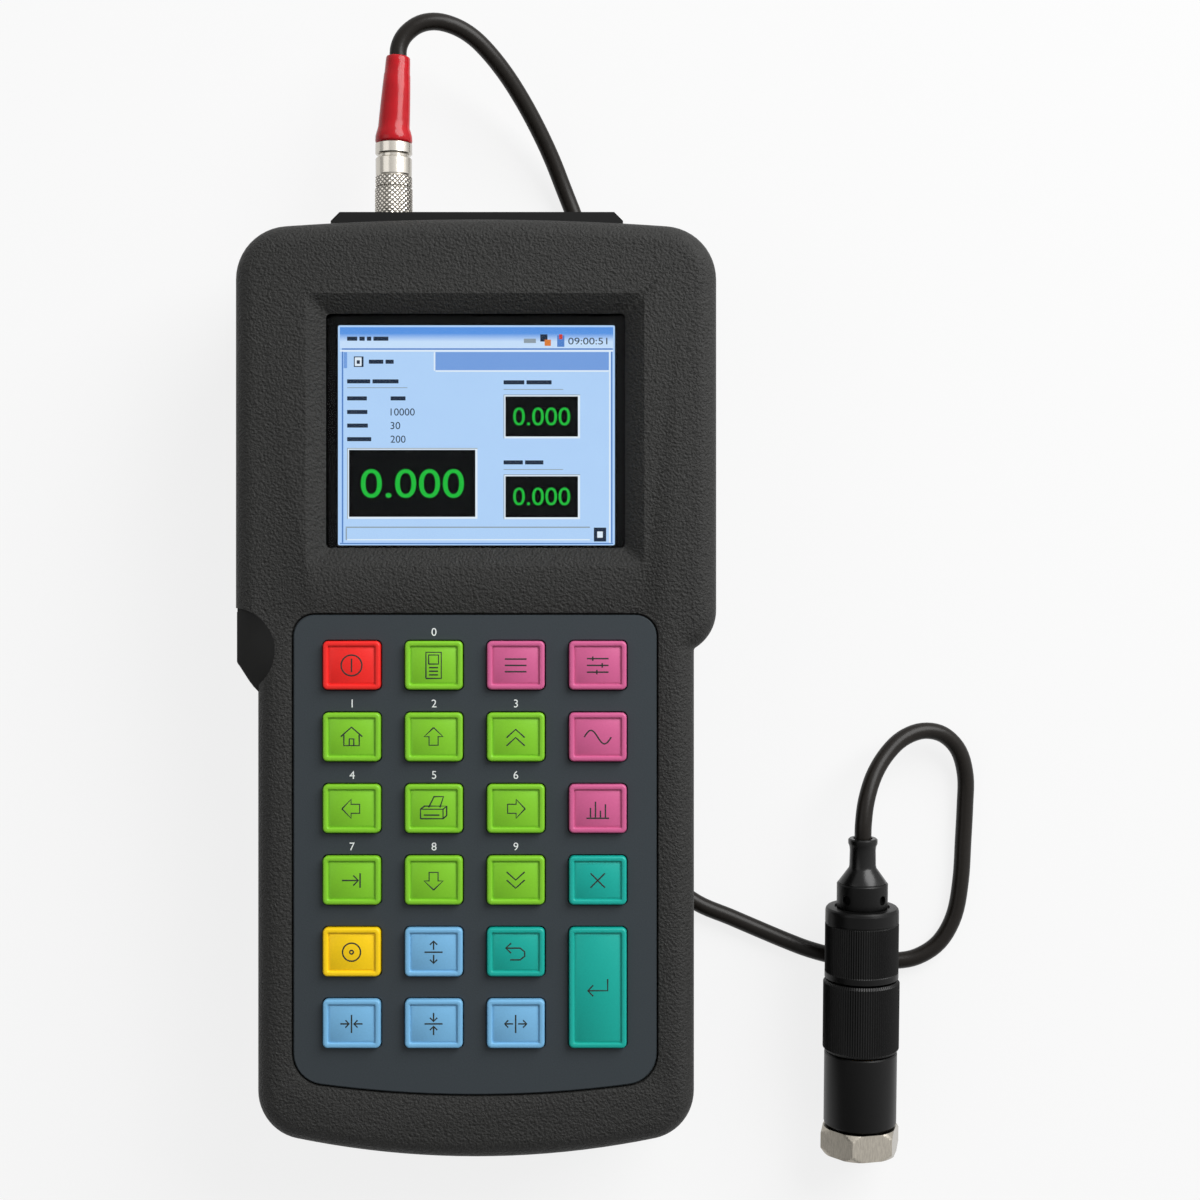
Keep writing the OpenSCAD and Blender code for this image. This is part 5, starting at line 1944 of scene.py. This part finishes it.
@dataclass
class Plug:
    """Knurled latch sleeve, rear nut and red boot of the plug in channel 1."""

    axis_x: float = field(default_factory=lambda: middle("latch_sleeve").x)
    axis_z: float = field(default_factory=lambda: middle("latch_sleeve").z)
    knurl_start: float = 1.1
    knurl_step: float = 0.55
    knurl_sides: int = 44
    knurl_depth: float = 0.2
    lower_rows: int = 12
    upper_rows: int = 5
    # How far the middle of the knurl lies under the sleeve's largest radius
    lower_sink: float = 0.05
    upper_sink: float = 0.15
    # The smooth band between: its distance from the knurl on either side, and how deep it lies
    groove: tuple[float, float] = (0.14, 0.45)
    bore: float = 3.6
    bore_depth: float = 1.0
    boot_lean: float = 3.5
    boot_collar: float = 3.0
    # Distance from the collar's foot and radius of the boot's tapered part
    boot_taper: tuple[tuple[float, float], ...] = (
        (5.0, 3.62), (8.0, 3.5), (12.0, 3.3), (15.8, 3.08), (16.1, 2.98),
        (18.6, 2.86), (19.7, 2.8), (19.98, 2.68), (20.1, 2.4),
    )

    def axis(self, y: float) -> Axis:
        """The plug's axis, starting at a place along the meter."""
        return Axis(Vector((self.axis_x, y, self.axis_z)), ALONG)

    def build(self) -> list[Object]:
        """Makes the three pieces.

        Returns:
            The pieces, which go on the cable's end.
        """
        return [self.build_sleeve(), self.build_nut(), self.build_boot()]

    def build_sleeve(self) -> Object:
        """Sleeve with two bands of diamond knurl, a smooth band, and a bore for the nut's neck.

        Returns:
            The sleeve.
        """
        low, high = corners("latch_sleeve")
        r = (high.x - low.x) / 2
        length = high.y - low.y
        step = self.knurl_step
        lower_band = [self.knurl_start + step * k for k in range(self.lower_rows)]
        upper_band = [lower_band[-1] + step * (1 + k) for k in range(self.upper_rows)]
        lower_r, upper_r = r - self.lower_sink, r - self.upper_sink
        beside, sunk = self.groove
        profile = [(0.0, r - 1.0), (0.06, r - 0.75), (0.85, r - 0.1), (1.0, lower_r)]
        profile += [(d, lower_r) for d in lower_band]
        profile += [(lower_band[-1] + beside, r - sunk), (upper_band[0] - beside, r - sunk)]
        profile += [(d, upper_r) for d in upper_band]
        end = upper_band[-1]
        profile += [(end + 0.15, r - 0.28), (end + 0.5, r - 0.12), (length - 0.35, r - 0.1)]
        profile += [(length - 0.08, r - 0.3), (length, r - 0.6), (length, self.bore)]
        profile += [(length - self.bore_depth, self.bore)]
        bands = [*lower_band, *upper_band]

        def knurl(ring: int, side: int) -> float:
            """Raises every second point of the knurled rings.

            Args:
                ring: number of the ring.
                side: number of the point.

            Returns:
                What it adds to the radius.
            """
            distance = profile[ring][0]
            if distance not in bands:
                return 0.0
            count = round((distance - bands[0]) / self.knurl_step)
            return self.knurl_depth * (0.5 if (count + side) % 2 else -0.5)

        sleeve = turned("knurled_sleeve", self.axis(low.y), profile, self.knurl_sides, knurl)
        # The knurl's strong tint is painted light: shade painted into the grooves and a highlight
        # painted onto the points.
        knurled = KnurledNickel(
            "knurled_nickel_painted_light",
            "#c0bbb2",
            0.24,
            depth_mm=0.16,
            tint=0.66,
            metallic=1.0,
            centre=(self.axis_x, low.y + bands[0], self.axis_z),
            step=self.knurl_step,
            sides=self.knurl_sides,
        )
        for finish in (NICKEL, knurled):
            sleeve.data.materials.append(finish.material())
        for polygon in sleeve.data.polygons:
            distance = polygon.center.y / MM - low.y
            polygon.material_index = int(bands[0] < distance < bands[-1])
        return dress(sleeve, NICKEL, "latch", ["latch_sleeve"], smooth=20)

    def build_nut(self) -> Object:
        """Polished ring behind the sleeve, with a neck that shows as a dark groove.

        Returns:
            The nut.
        """
        low, high = corners("plug_nut")
        r = (high.x - low.x) / 2
        length = high.y - low.y
        profile = [(-0.55, r - 0.9), (0, r - 0.85), (0.05, r - 0.3), (0.3, r - 0.05)]
        profile += [(length - 0.3, r - 0.05), (length - 0.05, r - 0.25), (length, r - 0.5)]
        nut = turned("rear_nut", self.axis(low.y), profile, 72)
        return dress(nut, NICKEL, "meter", ["plug_nut"])

    def build_boot(self) -> Object:
        """Tapered glossy boot with a flared foot, leaning after its collar.

        Returns:
            The boot.
        """
        r = span("latch_sleeve").x / 2
        straight = self.axis(corners("plug_boot")[0].y)
        lean = math.radians(self.boot_lean)
        bent_way = Vector((math.sin(lean), math.cos(lean), 0))
        leaning = Axis(straight.point(self.boot_collar), bent_way)
        profile = [(0.0, r - 0.35), (0.12, r - 0.12), (0.5, r), (1.6, r - 0.05), (2.7, r - 0.35)]
        profile += [(3.6, r - 0.62), *self.boot_taper]
        rings = []
        for distance, radius in profile:
            bent = distance > self.boot_collar
            line = leaning if bent else straight
            along = distance - self.boot_collar if bent else distance
            rings.append(line.ring(along, [radius] * 64))
        return dress(loft("boot", rings), BOOT, "meter", ["plug_boot"], smooth=50)


@dataclass
class Sensor:
    """Sensor with its fluted sleeve, housing, collar and gland, measured from its magnet face."""

    place: tuple[float, float, float] = (89.7, -18.4, 9.403)
    tilt: float = 4.8
    flutes: int = 96
    flute_depth: float = 0.16
    body: tuple[float, float, float] = (6.7, 24.3, 8.6)
    grip: tuple[float, float, float] = (24.6, 41.8, 9.0)
    upper: tuple[float, float, float] = (42.1, 59.1, 8.7)
    collar: float = 6.0
    collar_end: float = 64.9
    slot: float = 1.1
    slot_rise: float = 2.3
    slot_depth: float = 5.1
    cone_end: float = 68.4
    neck_end: float = 74.0
    gland_end: float = 75.4
    base_flats: float = 17.0
    base_gap: float = 0.3
    base_chamfer: tuple[float, float] = (1.0, 1.4)
    base_steps: int = 16
    base_turn: float = -13.0
    magnet: tuple[float, float] = (6.47, 3.1)
    stud: float = 2.48

    def axis(self) -> Axis:
        """The sensor's axis, rising from its magnet face."""
        tilt = math.radians(self.tilt)
        return Axis(Vector(self.place), Vector((0, math.cos(tilt), math.sin(tilt))))

    def flute(self, first: int, last: int) -> Callable[[int, int], float]:
        """Relief of fine lengthwise flutes on some rings.

        Args:
            first: number of the first fluted ring.
            last: number of the last one.

        Returns:
            What each ring and point adds to the radius.
        """

        def relief(ring: int, side: int) -> float:
            """Sinks every second point."""
            return -self.flute_depth * (side % 2) if first <= ring <= last else 0.0

        return relief

    def build(self) -> None:
        """Makes the pieces of the sensor that show."""
        line = self.axis()
        start, end, r = self.body
        profile = [(start, r - 0.5), (start + 0.4, r - 0.08), (start + 0.7, r)]
        profile += [(end - 0.3, r), (end, r - 0.3)]
        barrel = turned("sensor_barrel", line, profile, 96)
        dress(barrel, ANODISED, "meter", ["sensor_body"], smooth=40)
        start, end, r = self.grip
        profile = [(start, r - 0.7), (start + 0.12, r - 0.5), (start + 0.75, r)]
        profile += [(end - 0.75, r), (end - 0.12, r - 0.45), (end, r - 0.7)]
        sleeve = turned("fluted_sleeve", line, profile, 2 * self.flutes, self.flute(2, 3))
        dress(sleeve, ANODISED, "grip", ["grip_sleeve"], smooth=15)
        self.build_base(line)
        self.build_housing(line)
        self.build_collar(line)
        self.build_gland(line)

    def hexagon(self, distance: float) -> list[float]:
        """Radii of the base's hexagon, with its corners turned down near both ends.

        Args:
            distance: distance from the magnet face.

        Returns:
            One radius for each point round the base, the first one at a corner.
        """
        flat = self.base_flats / 2
        corner = flat / math.cos(math.radians(30))
        share = min(distance, self.body[0] - self.base_gap - distance) / self.base_chamfer[1]
        cone = corner - self.base_chamfer[0] * max(0.0, 1 - share)
        step = 60 / self.base_steps
        return [
            min(flat / math.cos(math.radians(step * (k % self.base_steps) - 30)), cone)
            for k in range(6 * self.base_steps)
        ]

    def build_base(self, line: Axis) -> None:
        """Hexagonal base with turned-down corners, its magnet's pocket and its stud's bore.

        Args:
            line: the sensor's axis.
        """
        end = self.body[0] - self.base_gap
        places = [self.base_chamfer[1] * share for share in (0.0, 0.25, 0.5, 0.75, 1.0)]
        places += [end - place for place in reversed(places)]
        rings = [line.ring(place, self.hexagon(place), self.base_turn) for place in places]
        base = loft("hexagon_base", rings)
        radius, depth = self.magnet
        pocket = turned("pocket", line, [(-1, radius), (depth, radius)], 64)
        bore = turned("bore", line, [(depth - 0.5, self.stud), (end + 1, self.stud)], 40)
        cut(base, [pocket, bore])
        dress(base, SATIN_NICKEL, "base", ["magnet_base"], smooth=16)

    def build_housing(self, line: Axis) -> None:
        """Upper housing: fluted middle, a plain band and a rounded rim with a flat end.

        Args:
            line: the sensor's axis.
        """
        start, end, r = self.upper
        band = end - 4
        profile = [(start, r - 0.4), (start + 0.15, r), (start + 1.5, r), (start + 1.7, r - 0.02)]
        profile += [(band, r - 0.02), (band + 0.15, r - 0.25), (band + 0.35, r - 0.25)]
        profile += [(band + 0.5, r - 0.04), (end - 0.9, r - 0.06), (end - 0.4, r - 0.2)]
        profile += [(end - 0.08, r - 0.5), (end, r - 0.85), (end, 6.5), (end - 0.5, 6.4)]
        housing = turned("fluted_housing", line, profile, 2 * self.flutes, self.flute(3, 4))
        dress(housing, ANODISED, "meter", ["upper_housing"], smooth=15)

    def build_collar(self, line: Axis) -> None:
        """Collar nut with four round spanner holes near its foot.

        Args:
            line: the sensor's axis.
        """
        start, end, r = self.upper[1], self.collar_end, self.collar
        profile = [(start - 0.5, r - 0.1), (start + 0.1, r), (end - 0.3, r), (end, r - 0.25)]
        collar = turned("slotted_collar", line, profile, 64)
        slots = []
        for k in range(4):
            out = line.outward(math.radians(90 * k + 45))
            foot = line.point(start + self.slot_rise) + self.slot_depth * out
            slots.append(turned("slot", Axis(foot, out), [(0, self.slot), (2, self.slot)], 24))
        cut(collar, slots)
        dress(collar, ANODISED, "meter", ["collar_nut"], smooth=35)

    def build_gland(self, line: Axis) -> None:
        """Cone, waisted neck and rim of the cable gland.

        Args:
            line: the sensor's axis.
        """
        foot, cone, neck, end = self.collar_end, self.cone_end, self.neck_end, self.gland_end
        profile = [(foot - 0.5, 5.4), (foot, 5.6), (foot + 0.3, 5.55), (cone - 0.3, 3.45)]
        profile += [(cone, 3.25), (cone + 0.6, 3.12), (neck - 1.4, 3.05), (neck - 0.5, 3.15)]
        profile += [(neck, 3.35), (neck + 0.2, 3.45), (end - 0.3, 3.45), (end, 3.15)]
        profile += [(end, 2.3), (end - 0.6, 2.2)]
        gland = turned("gland", line, profile, 64)
        dress(gland, GLAND, "meter", ["cable_gland"], smooth=35)


@dataclass
class CarriedOver:
    """CAD nodes that keep their own mesh and get the finish of what they are made of."""

    slots: dict[str, tuple[str, ...]] = field(
        default_factory=lambda: {
            "rubber_black": ("shell_seal", "rubber_feet"),
            "tray_black": ("lcd_tray", "buzzer", "plug_insert"),
            "mat_grey": ("key_mat",),
            "board_green": ("keypad_board", "main_board"),
            "panel_black": ("connector_plate",),
            "nickel": ("channel_1_socket", "channel_2_socket", "socket_nuts", "plug_body"),
            "port_steel": ("data_port",),
            "cell_blue": ("battery_pack",),
            "case_black": ("battery_cover",),
            "screw_steel": ("cover_screws", "case_screws", "board_screws", "base_stud"),
            "gold_brass": ("sensing_element",),
            "magnet_grey": ("magnet",),
        }
    )

    def build(self) -> None:
        """Assigns each node its finish."""
        for slot, nodes in self.slots.items():
            for node in nodes:
                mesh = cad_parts[node].data
                mesh.materials.clear()
                mesh.materials.append(INSIDE[slot].material())
                LOG.info("%s: CAD node, finish %s", node, INSIDE[slot].name)


def main() -> None:
    """Builds the scene, sub-assembly by sub-assembly."""
    logging.basicConfig(level=logging.INFO, format="%(message)s")
    Studio().build()
    on_cable = Plug().build()
    SensorCable().build([*on_cable, "plug_body", "plug_insert"])
    keypad = Keypad()
    Case().build(keypad)
    keypad.build()
    Screen().build()
    Sensor().build()
    CarriedOver().build()


if __name__ == "__main__":
    main()
